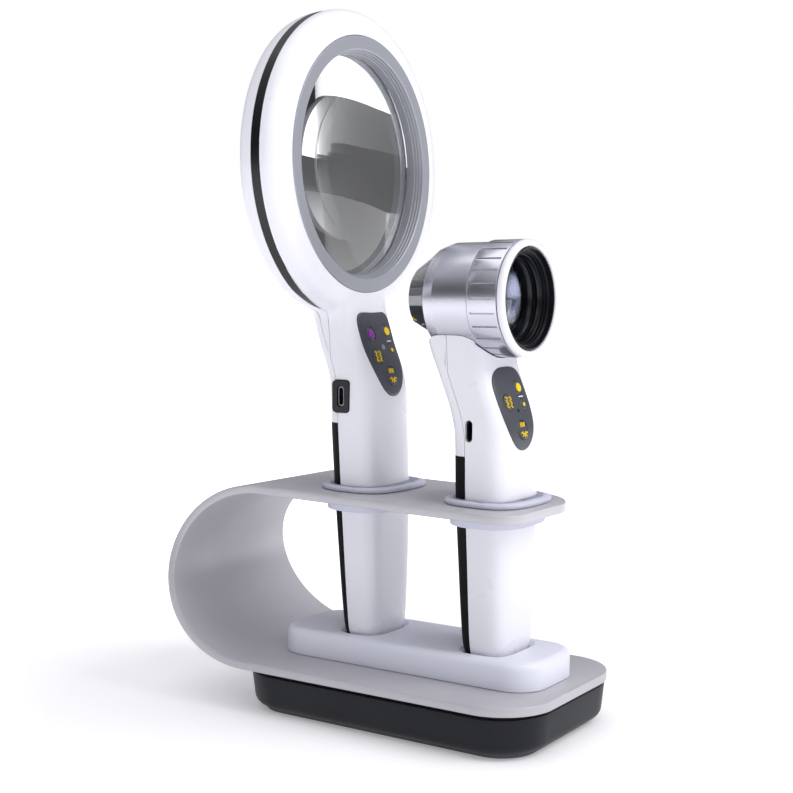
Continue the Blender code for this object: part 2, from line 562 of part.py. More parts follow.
def make_magnifier():
    stations, squareness, frame = MAGNIFIER_STATIONS, MAGNIFIER_SQUARENESS, MAGNIFIER
    top = stations[-1][0]
    r = HEAD_RADIUS
    front = turned("mag_front_shell", [(BAND_X1 + GAP, r - 8.0), (BAND_X1 + GAP, r), (32.7, r - 0.3),
                                       (35.6, r - 2.0), (37.4, r - 4.8), (HEAD_FRONT, r - 8.5),
                                       (HEAD_FRONT, BEZEL_RADIUS - 2.0), (BAND_X1 + GAP, BEZEL_RADIUS - 2.0)],
                   HEAD_Z, frame, WHITE, HEAD_STEPS)
    boolean(front, handle_half("mag_front_handle", stations, squareness, HANDLE_FOOT, top, True, frame), "UNION")
    cavity = [(10.0, 0.0), (10.0, r - 2.6), (30.9, r - 2.6), (33.8, r - 4.6), (35.8, r - 9.0),
              (35.8, BEZEL_RADIUS + GAP), (60.0, BEZEL_RADIUS + GAP), (60.0, 0.0)]
    hollow = turned("mag_head_cavity", cavity, HEAD_Z, frame, None, HEAD_STEPS)
    boolean(front, hollow)

    rear = turned("mag_rear_shell", [(BAND_X0 - GAP, r - 2.8), (HEAD_BACK + 2.4, r - 3.6), (HEAD_BACK + 2.4, 66.6),
                                     (HEAD_BACK, 66.6), (HEAD_BACK, r - 3.8), (HEAD_BACK + 1.6, r - 1.6),
                                     (BAND_X0 - GAP, r - 0.3)], HEAD_Z, frame, WHITE, HEAD_STEPS)
    boolean(rear, handle_half("mag_rear_handle", stations, squareness, MAGNIFIER_GRIP_TOP + GAP / 2, top, False,
                              frame), "UNION")
    rear_cavity = [(HEAD_BACK + 2.5, 0.0), (HEAD_BACK + 2.5, r - 4.2), (60.0, r - 4.2), (60.0, 0.0)]
    boolean(rear, turned("mag_rear_cavity", rear_cavity, HEAD_Z, frame, None, HEAD_STEPS))
    rear_bore = [(-10.0, 0.0), (-10.0, 66.4), (60.0, 66.4), (60.0, 0.0)]
    boolean(rear, turned("mag_rear_bore", rear_bore, HEAD_Z, frame, None, HEAD_STEPS))

    turned("mag_trim_band", [(BAND_X0, r - 4.0), (BAND_X0, r - 0.4), (BAND_X1, r - 0.2), (BAND_X1, r - 2.3),
                             (BAND_X1 - 2.0, r - 4.0)],
           HEAD_Z, frame, TRIM, HEAD_STEPS, (BAND_GAP_ANGLE, 360 - 2 * BAND_GAP_ANGLE))
    handle_half("mag_grip", stations, squareness, HANDLE_FOOT, MAGNIFIER_GRIP_TOP - GAP / 2, False, frame, GRIP)

    turned("mag_bezel", [(24.0, 54.4), (24.0, 56.2), (32.8, 56.2), (32.8, BEZEL_RADIUS), (HEAD_FRONT - 0.2, BEZEL_RADIUS),
                         (HEAD_FRONT + 0.3, BEZEL_RADIUS - 0.8), (HEAD_FRONT + 0.3, BEZEL_BORE + 0.6),
                         (HEAD_FRONT - 0.6, BEZEL_BORE), (33.6, 52.9), (30.5, 52.6), (30.5, 54.4)],
           HEAD_Z, frame, BEZEL, HEAD_STEPS)
    turned("mag_lens", lens_profile(24.4, 30.1, LENS_RADIUS, 20.2, 36.8), HEAD_Z, frame, GLASS, HEAD_STEPS)
    turned("mag_lens_retainer", [(18.6, 50.6), (18.6, 56.2), (23.7, 56.2), (23.7, 52.6), (21.2, 50.6)],
           HEAD_Z, frame, BEZEL, HEAD_STEPS)
    turned("mag_light_ring", [(18.0, 56.6), (18.0, 66.3), (19.8, 66.3), (19.8, 56.6)], HEAD_Z, frame, DIFFUSER, HEAD_STEPS)
    turned("mag_led_board", [(22.6, 56.8), (22.6, 66.0), (23.8, 66.0), (23.8, 56.8)], HEAD_Z, frame, CIRCUIT, HEAD_STEPS)

    make_controls("mag", MAGNIFIER_PANEL, MAGNIFIER_BUTTONS, stations, squareness, frame, front)
    make_foot("mag", stations, squareness, frame)

    x, z = MAGNIFIER_PORT
    half_x, half_z = PORT_PLATE_HALF
    opening = box("mag_port_opening", (x - half_x, -40.0, z - half_z), (x + half_x, -10.0, z + half_z), frame)
    boolean(front, opening)
    boolean(rear, opening)
    plate = box("mag_port_plate", (x - half_x + GAP, -21.9, z - half_z + GAP),
                (x + half_x - GAP, -18.4, z + half_z - GAP), frame, TRIM)
    boolean(plate, port_hole("mag_port_mouth", x, z, -40.0, 0.0, GAP, frame))
    port_hole("mag_port_socket", x, z, -21.2, -11.0, 0.0, frame, STEEL)
    boolean(bpy.data.objects["mag_port_socket"], port_hole("mag_socket_mouth", x, z, -40.0, -13.0, -0.5, frame))
    box("mag_main_board", (36.0, -12.0, 96.0), (37.4, 12.0, 142.0), frame, CIRCUIT)


def lens_profile(edge_back, edge_front, radius, back, front, steps=3):
    """A two-sided lens from its back pole to its front pole."""
    profile = [(back, 0.0)]
    for k in range(1, steps + 1):
        share = k / steps
        profile.append((back + (edge_back - back) * share**2, radius * share))
    for k in range(steps, 0, -1):
        share = k / steps
        profile.append((front + (edge_front - front) * share**2, radius * share))
    profile.append((front, 0.0))
    return profile


# ---- Scope --------------------------------------------------------------------------------------

def make_focus_ring(frame):
    """A plain ring with shallow lengthwise grooves cut in its outside."""
    r = RING_RADIUS
    ring = turned("scope_focus_ring", [(RING_X0, SLEEVE_RADIUS + GAP), (RING_X0, r - 0.6), (RING_X0 + 0.6, r),
                                       (RING_X1 - 0.4, r), (RING_X1, r - 0.4), (RING_X1, SLEEVE_RADIUS + GAP)],
                  BARREL_Z, frame, ALUMINIUM, BARREL_STEPS)
    grooves = 26
    bm = bmesh.new()
    for k in range(grooves):
        angle = 2 * pi * k / grooves
        made = bmesh.ops.create_cube(bm, size=1.0)["verts"]
        bmesh.ops.scale(bm, verts=made, vec=(RING_X1 - RING_X0 - 3.4, 0.9, 1.6))
        bmesh.ops.translate(bm, verts=made, vec=(RING_X0 + 1.9 + (RING_X1 - RING_X0 - 3.4) / 2, 0.0, BARREL_Z + r))
        bmesh.ops.rotate(bm, verts=made, cent=(0, 0, BARREL_Z), matrix=Matrix.Rotation(angle, 3, "X"))
    cutter = add_object("focus_grooves", to_mesh("focus_grooves", bm, (0, 0, 0)), frame)
    boolean(ring, cutter)


def make_scope():
    stations, squareness, frame = SCOPE_STATIONS, SCOPE_SQUARENESS, SCOPE
    top = stations[-1][0]
    saddle = turned("scope_saddle", [(60.0, 0.0), (60.0, BARREL_RADIUS + GAP), (RING_X0 - 0.6, BARREL_RADIUS + GAP),
                                     (RING_X0 - 0.6, RING_RADIUS + GAP + 0.2), (140.0, RING_RADIUS + GAP + 0.2),
                                     (140.0, 0.0)], BARREL_Z, frame, None, BARREL_STEPS)
    front = handle_half("scope_front_shell", stations, squareness, HANDLE_FOOT, top, True, frame, WHITE)
    rear = handle_half("scope_rear_shell", stations, squareness, SCOPE_GRIP_TOP + GAP / 2, top, False, frame, WHITE)
    boolean(front, saddle)
    boolean(rear, saddle)
    handle_half("scope_grip", stations, squareness, HANDLE_FOOT, SCOPE_GRIP_TOP - GAP / 2, False, frame, GRIP)

    r = BARREL_RADIUS
    turned("scope_barrel", [(BARREL_BACK, r - 4.0), (BARREL_BACK, r - 1.9), (BARREL_BACK + 6.0, r), (BARREL_FRONT, r),
                            (BARREL_FRONT, SLEEVE_RADIUS), (RING_X1, SLEEVE_RADIUS), (RING_X1, SLEEVE_BORE),
                            (94.6, SLEEVE_BORE), (94.6, r - 4.0)], BARREL_Z, frame, ALUMINIUM, BARREL_STEPS)
    make_focus_ring(frame)
    turned("scope_front_rim", [(RING_X1 + GAP, SLEEVE_BORE + 2.2), (RING_X1 + GAP, 26.4), (127.4, 26.7), (128.7, 26.1),
                               (RIM_X1, 25.0), (RIM_X1 - 0.2, 23.9), (128.4, 23.4)], BARREL_Z, frame, WHITE, BARREL_STEPS)
    turned("scope_hood", [(121.6, 19.0), (121.6, 20.8), (126.1, 20.8), (126.1, 22.9), (128.4, 23.1), (128.8, 22.4),
                          (127.4, 21.4), (126.6, 20.2), (124.0, 19.8)], BARREL_Z, frame, BLACK, BARREL_STEPS)
    turned("scope_lens_cell", [(CELL_X0, 16.4), (CELL_X0, 20.8), (CELL_X1, 20.8), (CELL_X1, 17.9), (CELL_X1 - 1.2, 17.0),
                               (CELL_X1 - 2.4, 17.0), (CELL_X1 - 2.4, 17.9), (110.0, 17.9), (110.0, 16.4)],
           BARREL_Z, frame, BLACK, BARREL_STEPS)
    turned("scope_front_lens", lens_profile(110.4, 114.6, 17.5, 107.4, 118.4), BARREL_Z, frame, GLASS, BARREL_STEPS)
    turned("scope_rear_cap", [(CAP_BACK, 11.6), (CAP_BACK, 15.0), (CAP_BACK + 0.8, 15.7), (BARREL_BACK - GAP, 23.4),
                              (BARREL_BACK - GAP, 21.2), (BARREL_BACK + 3.0, 21.2), (BARREL_BACK + 3.0, 19.4),
                              (CAP_BACK + 3.6, 13.4), (CAP_BACK + 1.6, 11.6)], BARREL_Z, frame, BLACK, BARREL_STEPS)
    turned("scope_eyepiece_lens", lens_profile(CAP_BACK + 4.6, CAP_BACK + 6.6, 13.0, CAP_BACK + 3.8,
                                               CAP_BACK + 8.6), BARREL_Z, frame, GLASS, BARREL_STEPS)
    turned("scope_led_board", [(120.1, 18.1), (120.1, 20.8), (120.9, 20.8), (120.9, 18.1)], BARREL_Z, frame,
           CIRCUIT, BARREL_STEPS)

    make_controls("scope", SCOPE_PANEL, SCOPE_BUTTONS, stations, squareness, frame, front)
    make_foot("scope", stations, squareness, frame)
    x, z = SCOPE_PORT
    mouth = port_hole("scope_port_mouth", x, z, -40.0, -9.0, GAP, frame)
    boolean(front, mouth)
    boolean(rear, mouth)
    port_hole("scope_port_socket", x, z, -19.2, -10.0, 0.0, frame, STEEL)
    boolean(bpy.data.objects["scope_port_socket"], port_hole("scope_socket_mouth", x, z, -40.0, -12.0, -0.5, frame))
    box("scope_main_board", (104.6, -12.0, 96.0), (106.0, 12.0, 126.0), frame, CIRCUIT)


make_base()
make_sheet()
make_dock()
make_collar("collar_large", MAGNIFIER_X)
make_collar("collar_small", SCOPE_X + 0.6)
make_magnifier()
make_scope()
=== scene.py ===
import bpy
import bmesh
from math import atan2, copysign, cos, degrees, pi, radians, sin, sqrt, tan
from mathutils import Matrix, Vector


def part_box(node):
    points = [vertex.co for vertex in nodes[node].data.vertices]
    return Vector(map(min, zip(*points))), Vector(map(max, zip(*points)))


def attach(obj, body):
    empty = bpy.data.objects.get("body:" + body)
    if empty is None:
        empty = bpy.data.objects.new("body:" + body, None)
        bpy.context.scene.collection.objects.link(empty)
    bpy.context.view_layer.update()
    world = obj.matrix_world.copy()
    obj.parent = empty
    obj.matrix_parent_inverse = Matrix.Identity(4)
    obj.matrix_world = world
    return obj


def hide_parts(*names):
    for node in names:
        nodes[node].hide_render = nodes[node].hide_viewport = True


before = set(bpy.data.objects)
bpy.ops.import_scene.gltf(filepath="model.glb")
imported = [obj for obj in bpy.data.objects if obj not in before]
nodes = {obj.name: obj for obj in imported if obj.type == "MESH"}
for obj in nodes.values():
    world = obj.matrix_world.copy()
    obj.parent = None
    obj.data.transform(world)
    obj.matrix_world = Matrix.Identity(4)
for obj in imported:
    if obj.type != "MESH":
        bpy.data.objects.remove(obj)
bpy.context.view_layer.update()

# Lengths below are millimetres, with x measured from the axis of the stand's bend.
mm = 0.001
dockStart = 0.6
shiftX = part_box("dock_cover")[0][0] - dockStart * mm
wells = {"large": 43.3, "small": 112.6}
magnifierTurn = {"middle": wells["large"], "degrees": 3.0}   # the magnifier stands slightly turned in its well

# steps round each kind of shape, then spacings; the voxel is in metres
detail = {"round": 128, "focusRing": 168, "handle": 96, "slab": 14, "film": 96, "button": 48, "lens": 22,
          "handleStep": 2.5, "seamStep": 3.0, "weld": 0.0005, "voxel": 0.0008}
softEdge = {"segments": 3, "angle": 32.0}


# Building helpers

def makeObject(name, bm, turned=False):
    bmesh.ops.remove_doubles(bm, verts=bm.verts, dist=detail["weld"])
    bmesh.ops.recalc_face_normals(bm, faces=bm.faces)
    if turned:
        bmesh.ops.rotate(bm, verts=bm.verts, cent=(magnifierTurn["middle"], 0, 0),
                         matrix=Matrix.Rotation(radians(magnifierTurn["degrees"]), 3, "Z"))
    bmesh.ops.scale(bm, verts=bm.verts, vec=(mm, mm, mm))
    bmesh.ops.translate(bm, verts=bm.verts, vec=(shiftX, 0, 0))
    mesh = bpy.data.meshes.new(name)
    bm.to_mesh(mesh)
    bm.free()
    piece = bpy.data.objects.new(name, mesh)
    bpy.context.collection.objects.link(piece)
    return piece


def applyModifiers(piece):
    bpy.context.view_layer.update()
    graph = bpy.context.evaluated_depsgraph_get()
    made = bpy.data.meshes.new_from_object(piece.evaluated_get(graph))
    old = piece.data
    piece.modifiers.clear()
    piece.data = made
    bpy.data.meshes.remove(old)


def carve(piece, cutter, operation="DIFFERENCE", solver="MANIFOLD", keep=False):
    cut = piece.modifiers.new("cut", "BOOLEAN")
    cut.object = cutter
    cut.operation = operation
    cut.solver = solver
    applyModifiers(piece)
    if not keep:
        bpy.data.objects.remove(cutter)


def copyOf(piece, name):
    other = bpy.data.objects.new(name, piece.data.copy())
    bpy.context.collection.objects.link(other)
    return other


def finishPiece(piece, body, material, replaced=(), sharp=32.0, bevel=0.0):
    mesh = piece.data
    mesh.name = piece.name
    mesh.materials.clear()
    mesh.materials.append(material)
    for face in mesh.polygons:
        face.use_smooth = True
    mesh.set_sharp_from_angle(angle=radians(sharp))
    if bevel:
        edge = piece.modifiers.new("edge", "BEVEL")
        edge.width = bevel * mm
        edge.segments = softEdge["segments"]
        edge.limit_method = "ANGLE"
        edge.angle_limit = radians(softEdge["angle"])
        edge.use_clamp_overlap = True
    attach(piece, body)
    if replaced:
        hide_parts(*replaced)


def spinProfile(bm, profile, height, steps=None, arc=360.0, start=0.0, closed=True):
    # a section (x, radius) turned round the level line through height
    around = steps or detail["round"]
    made = [bm.verts.new((x, 0, height + radius)) for x, radius in profile]
    edges = [bm.edges.new(pair) for pair in zip(made, made[1:])]
    if closed:
        edges.append(bm.edges.new((made[-1], made[0])))
    bmesh.ops.rotate(bm, verts=made, cent=(0, 0, height), matrix=Matrix.Rotation(radians(start), 3, "X"))
    bmesh.ops.spin(bm, geom=made + edges, cent=(0, 0, height), axis=(1, 0, 0), dvec=(0, 0, 0), angle=radians(arc),
                   steps=around, use_merge=arc == 360.0, use_normal_flip=False, use_duplicate=False)
    if arc < 360.0:
        bmesh.ops.holes_fill(bm, edges=[e for e in bm.edges if e.is_boundary], sides=0)


def spun(name, profile, height, turned=False, **how):
    bm = bmesh.new()
    spinProfile(bm, profile, height, **how)
    return makeObject(name, bm, turned)


def softCurve(points, count):
    # even points along a smooth curve through the given ones
    last = len(points) - 1
    out = []
    for k in range(last):
        a, b, c, d = (points[max(0, min(last, j))] for j in (k - 1, k, k + 1, k + 2))
        for n in range(count):
            t = n / count
            out.append(tuple(0.5 * (2 * q + (r - p) * t + (2 * p - 5 * q + 4 * r - s) * t**2
                                    + (3 * q - p - 3 * r + s) * t**3) for p, q, r, s in zip(a, b, c, d)))
    out.append(tuple(points[-1]))
    return out


def pulled(value, squareness):
    return copysign(abs(value) ** (2 / squareness), value)


def squareRing(bm, middleX, halfX, halfY, squareness, z):
    # a circle pulled out towards a rounded square
    made = bmesh.ops.create_circle(bm, cap_ends=False, segments=detail["handle"], radius=1.0)["verts"]
    for v in made:
        v.co = (middleX + halfX * pulled(v.co.x, squareness), halfY * pulled(v.co.y, squareness), z)
    return made


def edgesOf(ring):
    inside = set(ring)
    return list({e for v in ring for e in v.link_edges if e.other_vert(v) in inside})


def bridgeRings(bm, rings, closed=False):
    loops = [edgesOf(ring) for ring in rings]
    pairs = list(zip(loops, loops[1:]))
    if closed:
        pairs.append((loops[-1], loops[0]))
    for low, high in pairs:
        bmesh.ops.bridge_loops(bm, edges=low + high)
    if not closed:
        for loop in (loops[0], loops[-1]):
            bmesh.ops.holes_fill(bm, edges=loop, sides=0)


def roundedSlab(bm, x0, x1, halfY, corner, z0, z1):
    # a block with its upright edges rounded
    made = bmesh.ops.create_cube(bm, size=1.0)["verts"]
    bmesh.ops.scale(bm, verts=made, vec=(x1 - x0, 2 * halfY, z1 - z0))
    bmesh.ops.translate(bm, verts=made, vec=((x0 + x1) / 2, 0, (z0 + z1) / 2))
    upright = [e for e in bm.edges if abs(e.verts[0].co.z - e.verts[1].co.z) > 0.5 * (z1 - z0)]
    bmesh.ops.bevel(bm, geom=upright, offset=corner, offset_type="OFFSET", segments=detail["slab"], profile=0.5,
                    affect="EDGES", material=-1, clamp_overlap=False)


def roundRim(bm, z, amount, segments):
    # rounds the edge of the level face at height z
    rim = [e for e in bm.edges if abs(e.verts[0].co.z - z) < 0.01 and abs(e.verts[1].co.z - z) < 0.01
           and len(e.link_faces) == 2 and any(abs(f.normal.z) < 0.5 for f in e.link_faces)]
    bmesh.ops.bevel(bm, geom=rim, offset=amount, offset_type="OFFSET", segments=segments, profile=0.5,
                    affect="EDGES", material=-1, clamp_overlap=False)


# Materials

def toLinear(hexText):
    parts = [int(hexText[k:k + 2], 16) / 255 for k in (1, 3, 5)]
    return tuple(p / 12.92 if p <= 0.04045 else ((p + 0.055) / 1.055) ** 2.4 for p in parts) + (1.0,)


def addNode(tree, kind, inputs=None, **settings):
    made = tree.nodes.new(kind)
    for key, value in settings.items():
        setattr(made, key, value)
    for socket, value in (inputs or {}).items():
        if isinstance(value, bpy.types.NodeSocket):
            tree.links.new(value, made.inputs[socket])
        else:
            made.inputs[socket].default_value = value
    return made


def startMaterial(name, colour, roughness, **sockets):
    material = bpy.data.materials.new(name)
    material.use_nodes = True
    shader = material.node_tree.nodes["Principled BSDF"]
    shader.inputs["Base Color"].default_value = toLinear(colour)
    shader.inputs["Roughness"].default_value = roughness
    for socket, value in sockets.items():
        shader.inputs[socket.replace("_", " ")].default_value = value
    return material, shader


grainLook = {"drift": 28.0, "spread": 0.03, "strength": 0.5}   # slow drift in mm, roughness either way, bump


def grainMaterial(name, colour, other, roughness, grain, depth, **sockets):
    # a surface with a fine even grain: grain is its pitch in millimetres, depth its height
    material, shader = startMaterial(name, colour, roughness, **sockets)
    tree = material.node_tree
    place = addNode(tree, "ShaderNodeTexCoord")
    noise = addNode(tree, "ShaderNodeTexNoise", {"Vector": place.outputs["Object"], "Scale": 1 / (grain * mm),
                                                 "Detail": 2.0})
    drift = addNode(tree, "ShaderNodeTexNoise", {"Vector": place.outputs["Object"], "Detail": 2.0,
                                                 "Scale": 1 / (grainLook["drift"] * mm)})
    tint = addNode(tree, "ShaderNodeMix", {"Factor": drift.outputs["Fac"]}, data_type="RGBA")
    tint.inputs[6].default_value = toLinear(colour)
    tint.inputs[7].default_value = toLinear(other)
    tree.links.new(tint.outputs[2], shader.inputs["Base Color"])
    rough = addNode(tree, "ShaderNodeMapRange", {"Value": drift.outputs["Fac"], "From Min": 0.3, "From Max": 0.7,
                                                 "To Min": roughness - grainLook["spread"],
                                                 "To Max": roughness + grainLook["spread"]})
    tree.links.new(rough.outputs["Result"], shader.inputs["Roughness"])
    bump = addNode(tree, "ShaderNodeBump", {"Height": noise.outputs["Fac"], "Strength": grainLook["strength"],
                                            "Distance": depth * mm})
    tree.links.new(bump.outputs["Normal"], shader.inputs["Normal"])
    return material


def plainFinish(name, colour, roughness, **sockets):
    return startMaterial(name, colour, roughness, **sockets)[0]


# white ABS from a polished mould: bright, softly glossy, with the faintest orange peel
whiteAbs = grainMaterial("mouldedWhiteAbs", "#E9E9F0", "#E6E6EE", 0.3, 0.5, 0.003, IOR=1.54)
# the same plastic in a cooler shade, from a finely etched mould: satin
dockAbs = grainMaterial("etchedCoolWhiteAbs", "#ECEDF8", "#E8E9F6", 0.4, 0.9, 0.02, IOR=1.54)
# aluminium sheet sprayed with a silver-grey paint that holds fine flake: satin with a slight sparkle
sheetPaint = grainMaterial("sprayedSilverPaint", "#C3C1C7", "#BCBBC1", 0.42, 0.35, 0.03, Metallic=0.2)
# anthracite ABS from an etched mould: dark satin
baseAbs = grainMaterial("etchedAnthraciteAbs", "#11131B", "#0E1018", 0.42, 0.7, 0.01, Specular_IOR_Level=0.28)
# thermoplastic elastomer moulded over the handle: dark and matt
gripRubber = grainMaterial("overmouldedBlackElastomer", "#07080D", "#0A0B10", 0.6, 0.5, 0.02,
                           Specular_IOR_Level=0.15)
# black ABS from a polished mould: an even gloss, softened by handling
glossTrim = plainFinish("mirrorMouldedBlackAbs", "#0A0A10", 0.3, IOR=1.45)
# aluminium ring, turned and sprayed mid grey: satin
bezelPaint = grainMaterial("sprayedGreyAluminium", "#9EA0A8", "#989AA3", 0.4, 0.4, 0.02, Metallic=0.35)
# silicone, cast: soft satin lilac grey
collarSilicone = grainMaterial("castLilacSilicone", "#D0D1E0", "#C9CADB", 0.5, 1.0, 0.02, IOR=1.43)
# moulded rubber foot: dull
padRubber = grainMaterial("mouldedGreyRubber", "#6B6B73", "#62626A", 0.85, 0.6, 0.05)
# printed polycarbonate film: dark grey, fine velvet texture
panelFilm = grainMaterial("printedPolycarbonateFilm", "#43454E", "#3F414A", 0.4, 0.3, 0.01)
# aluminium, bead blasted and clear anodised: even satin sheen
satinAluminium = grainMaterial("blastedAnodisedAluminium", "#C9C9D2", "#C4C4CE", 0.27, 0.3, 0.004, Metallic=1.0)
# aluminium, turned and black anodised: near-black satin
blackAluminium = grainMaterial("turnedBlackAnodised", "#1B1C23", "#15161C", 0.3, 0.3, 0.01, Metallic=0.5)
# polished black cap: mirror-like
capGloss = plainFinish("polishedBlackCap", "#08080C", 0.06, IOR=1.6, Coat_Weight=1.0, Coat_Roughness=0.03)
# ground and polished crown glass
lensGlass = plainFinish("polishedCrownGlass", "#FBFCFC", 0.0, IOR=1.5, Transmission_Weight=1.0)
# the same glass with an antireflection coat, which gives a faint blue cast
coatedGlass = plainFinish("coatedCrownGlass", "#EDF2FF", 0.0, IOR=1.55, Transmission_Weight=1.0)
# frosted acrylic over the lamps: translucent white
diffuser = grainMaterial("frostedAcrylic", "#F4F4F0", "#EFEFEA", 0.6, 0.4, 0.02)
# printing inks on the film
yellowInk = plainFinish("yellowInk", "#F0CC12", 0.45)
whiteInk = plainFinish("whiteInk", "#E4E4EA", 0.45)
violetInk = plainFinish("violetInk", "#9A38AE", 0.45)
lampInk = plainFinish("greyLampWindow", "#8B8C94", 0.3)
darkInk = plainFinish("darkLampWindow", "#17181E", 0.25)
# parts inside the shells
circuitLaminate = grainMaterial("solderMaskedLaminate", "#1F5B3A", "#1A4F33", 0.5, 1.5, 0.02)
copperWire = grainMaterial("woundCopperWire", "#B87333", "#A9672C", 0.35, 0.6, 0.05, Metallic=1.0)
platedSteel = grainMaterial("platedSteel", "#909096", "#86868C", 0.3, 0.4, 0.01, Metallic=1.0)
cellWrap = grainMaterial("shrunkBlueFilm", "#3A5FA8", "#35589E", 0.4, 1.2, 0.02)
print("materials ready")

innerFinishes = {
    "base_ballast": platedSteel, "base_charger_board": circuitLaminate, "base_power_socket": blackAluminium,
    "dock_coil_large": copperWire, "dock_coil_small": copperWire, "mag_battery": cellWrap,
    "mag_charge_coil": copperWire, "mag_foot_cap": gripRubber, "mag_led_board": circuitLaminate,
    "mag_main_board": circuitLaminate, "mag_port_socket": platedSteel, "mag_switch_board": circuitLaminate,
    "scope_battery": cellWrap, "scope_charge_coil": copperWire, "scope_foot_cap": gripRubber,
    "scope_led_board": blackAluminium, "scope_main_board": circuitLaminate, "scope_port_socket": blackAluminium,
    "scope_switch_board": circuitLaminate,
    "base_screw_1": platedSteel, "base_screw_2": platedSteel, "base_screw_3": platedSteel,
    "base_screw_4": platedSteel,
}
for nodeName, material in innerFinishes.items():
    cad = nodes[nodeName]
    cad.data.materials.clear()
    cad.data.materials.append(material)


# Stand: base, foot, bent sheet, dock and collars

base = {"x0": -6.6, "x1": 152.4, "halfY": 49.0, "corner": 24.0, "taper": 1.4, "chamfer": 4.6, "low": 2.1,
        "shoulder": 18.8, "shoulderRound": 0.7, "neck": 1.6, "neckDeep": 2.0, "top": 19.9, "wall": 8.0,
        "roof": 3.0, "slot": (13.4, 30.0, 5.6), "slotAt": (73.0, 45.0, 11.8)}


def makeBase():
    bm = bmesh.new()
    roundedSlab(bm, base["x0"], base["x1"], base["halfY"], base["corner"], base["low"], base["shoulder"])
    middle = (base["x0"] + base["x1"]) / 2
    for v in bm.verts:
        if v.co.z < base["low"] + 0.1:
            away = Vector((v.co.x - middle, v.co.y, 0))
            v.co.x -= copysign(min(base["taper"], abs(away.x)), away.x)
            v.co.y -= copysign(min(base["taper"], abs(away.y)), away.y)
    bm.normal_update()
    roundRim(bm, base["low"], base["chamfer"], 6)
    bm.normal_update()
    roundRim(bm, base["shoulder"], base["shoulderRound"], 3)
    piece = makeObject("baseHousing", bm)
    neckBm = bmesh.new()
    roundedSlab(neckBm, base["x0"] + base["neck"], base["x1"] - base["neck"], base["halfY"] - base["neck"],
                base["corner"] - base["neck"], base["shoulder"] - base["neckDeep"], base["top"])
    carve(piece, makeObject("neck", neckBm), "UNION")
    slotBm = bmesh.new()
    bmesh.ops.create_cube(slotBm, size=1.0)
    bmesh.ops.scale(slotBm, verts=slotBm.verts, vec=base["slot"])
    bmesh.ops.translate(slotBm, verts=slotBm.verts, vec=base["slotAt"])
    hollowBm = bmesh.new()
    inset = base["taper"] + base["wall"]
    roundedSlab(hollowBm, base["x0"] + inset, base["x1"] - inset, base["halfY"] - inset, base["corner"] - inset,
                -2.0, base["shoulder"] - base["roof"])
    carve(piece, makeObject("hollow", hollowBm))
    carve(piece, makeObject("socketSlot", slotBm))
    finishPiece(piece, "stand", baseAbs, ["base_housing"])
    print("base housing done")


pad = {"inset": 7.0, "thick": 1.8, "rim": 0.3, "screwX": (8.0, 138.0), "screwY": (-30.0, 30.0), "screwHole": 3.4}


def makePad():
    bm = bmesh.new()
    inset = pad["inset"]
    roundedSlab(bm, base["x0"] + inset, base["x1"] - inset, base["halfY"] - inset, base["corner"] - inset, 0.0,
                pad["thick"])
    bm.normal_update()
    roundRim(bm, 0.0, pad["rim"], 2)
    piece = makeObject("footPad", bm)
    radius = pad["screwHole"]
    for x in pad["screwX"]:
        for y in pad["screwY"]:
            hole = bmesh.new()
            bmesh.ops.create_cone(hole, cap_ends=True, segments=32, radius1=radius, radius2=radius, depth=8.0)
            bmesh.ops.translate(hole, verts=hole.verts, vec=(x, y, 0.0))
            carve(piece, makeObject("screwHole", hole))
    finishPiece(piece, "stand", padRubber, ["base_foot_pad"])
    print("foot pad done")


sheet = {"thick": 4.1, "low": 20.2, "rise": 87.3, "reach": 52.6, "lowerEnd": 153.6, "upperEnd": 139.6,
         "lowerHalf": 50.0, "upperHalf": 37.5, "lowerCorner": 25.8, "nearCorner": 13.0, "farCorner": 30.0,
         "droop": 1.34, "bendSteps": 72, "cornerSteps": 22, "edge": 0.7}


def leafTop(x):
    return sheet["low"] + sheet["rise"] - x * tan(radians(sheet["droop"]))


def cornerInset(fromEnd, corner):
    return corner - sqrt(corner**2 - (corner - min(fromEnd, corner))**2)


def sheetPath():
    # (outer point, inner point, half width near, half width far) from the lower leaf's end to the upper's
    path = []
    steps = sheet["cornerSteps"]
    thick = sheet["thick"]
    for k in range(steps + 1):
        fromEnd = sheet["lowerCorner"] * (1 - cos(pi / 2 * k / steps))
        half = sheet["lowerHalf"] - cornerInset(fromEnd, sheet["lowerCorner"])
        x = sheet["lowerEnd"] - fromEnd
        path.append(((x, sheet["low"]), (x, sheet["low"] + thick), half, half))
    path.append(((0.0, sheet["low"]), (0.0, sheet["low"] + thick), sheet["lowerHalf"], sheet["lowerHalf"]))
    rise = sheet["rise"] / 2
    for k in range(1, sheet["bendSteps"]):
        share = k / sheet["bendSteps"]
        angle = pi * share
        blend = share - sin(2 * pi * share) / (2 * pi)
        half = sheet["lowerHalf"] + (sheet["upperHalf"] - sheet["lowerHalf"]) * blend
        outer = (-sheet["reach"] * sin(angle), sheet["low"] + rise - rise * cos(angle))
        inner = (-(sheet["reach"] - thick) * sin(angle), sheet["low"] + rise - (rise - thick) * cos(angle))
        path.append((outer, inner, half, half))
    distances = [sheet["upperEnd"]]
    distances += [sheet["farCorner"] * (1 - sin(pi / 2 * k / steps)) for k in range(steps + 1)]
    for fromEnd in distances:
        x = sheet["upperEnd"] - fromEnd
        halves = [sheet["upperHalf"] - cornerInset(fromEnd, c) for c in (sheet["nearCorner"], sheet["farCorner"])]
        path.append(((x, leafTop(x)), (x, leafTop(x) - thick), *halves))
    return path


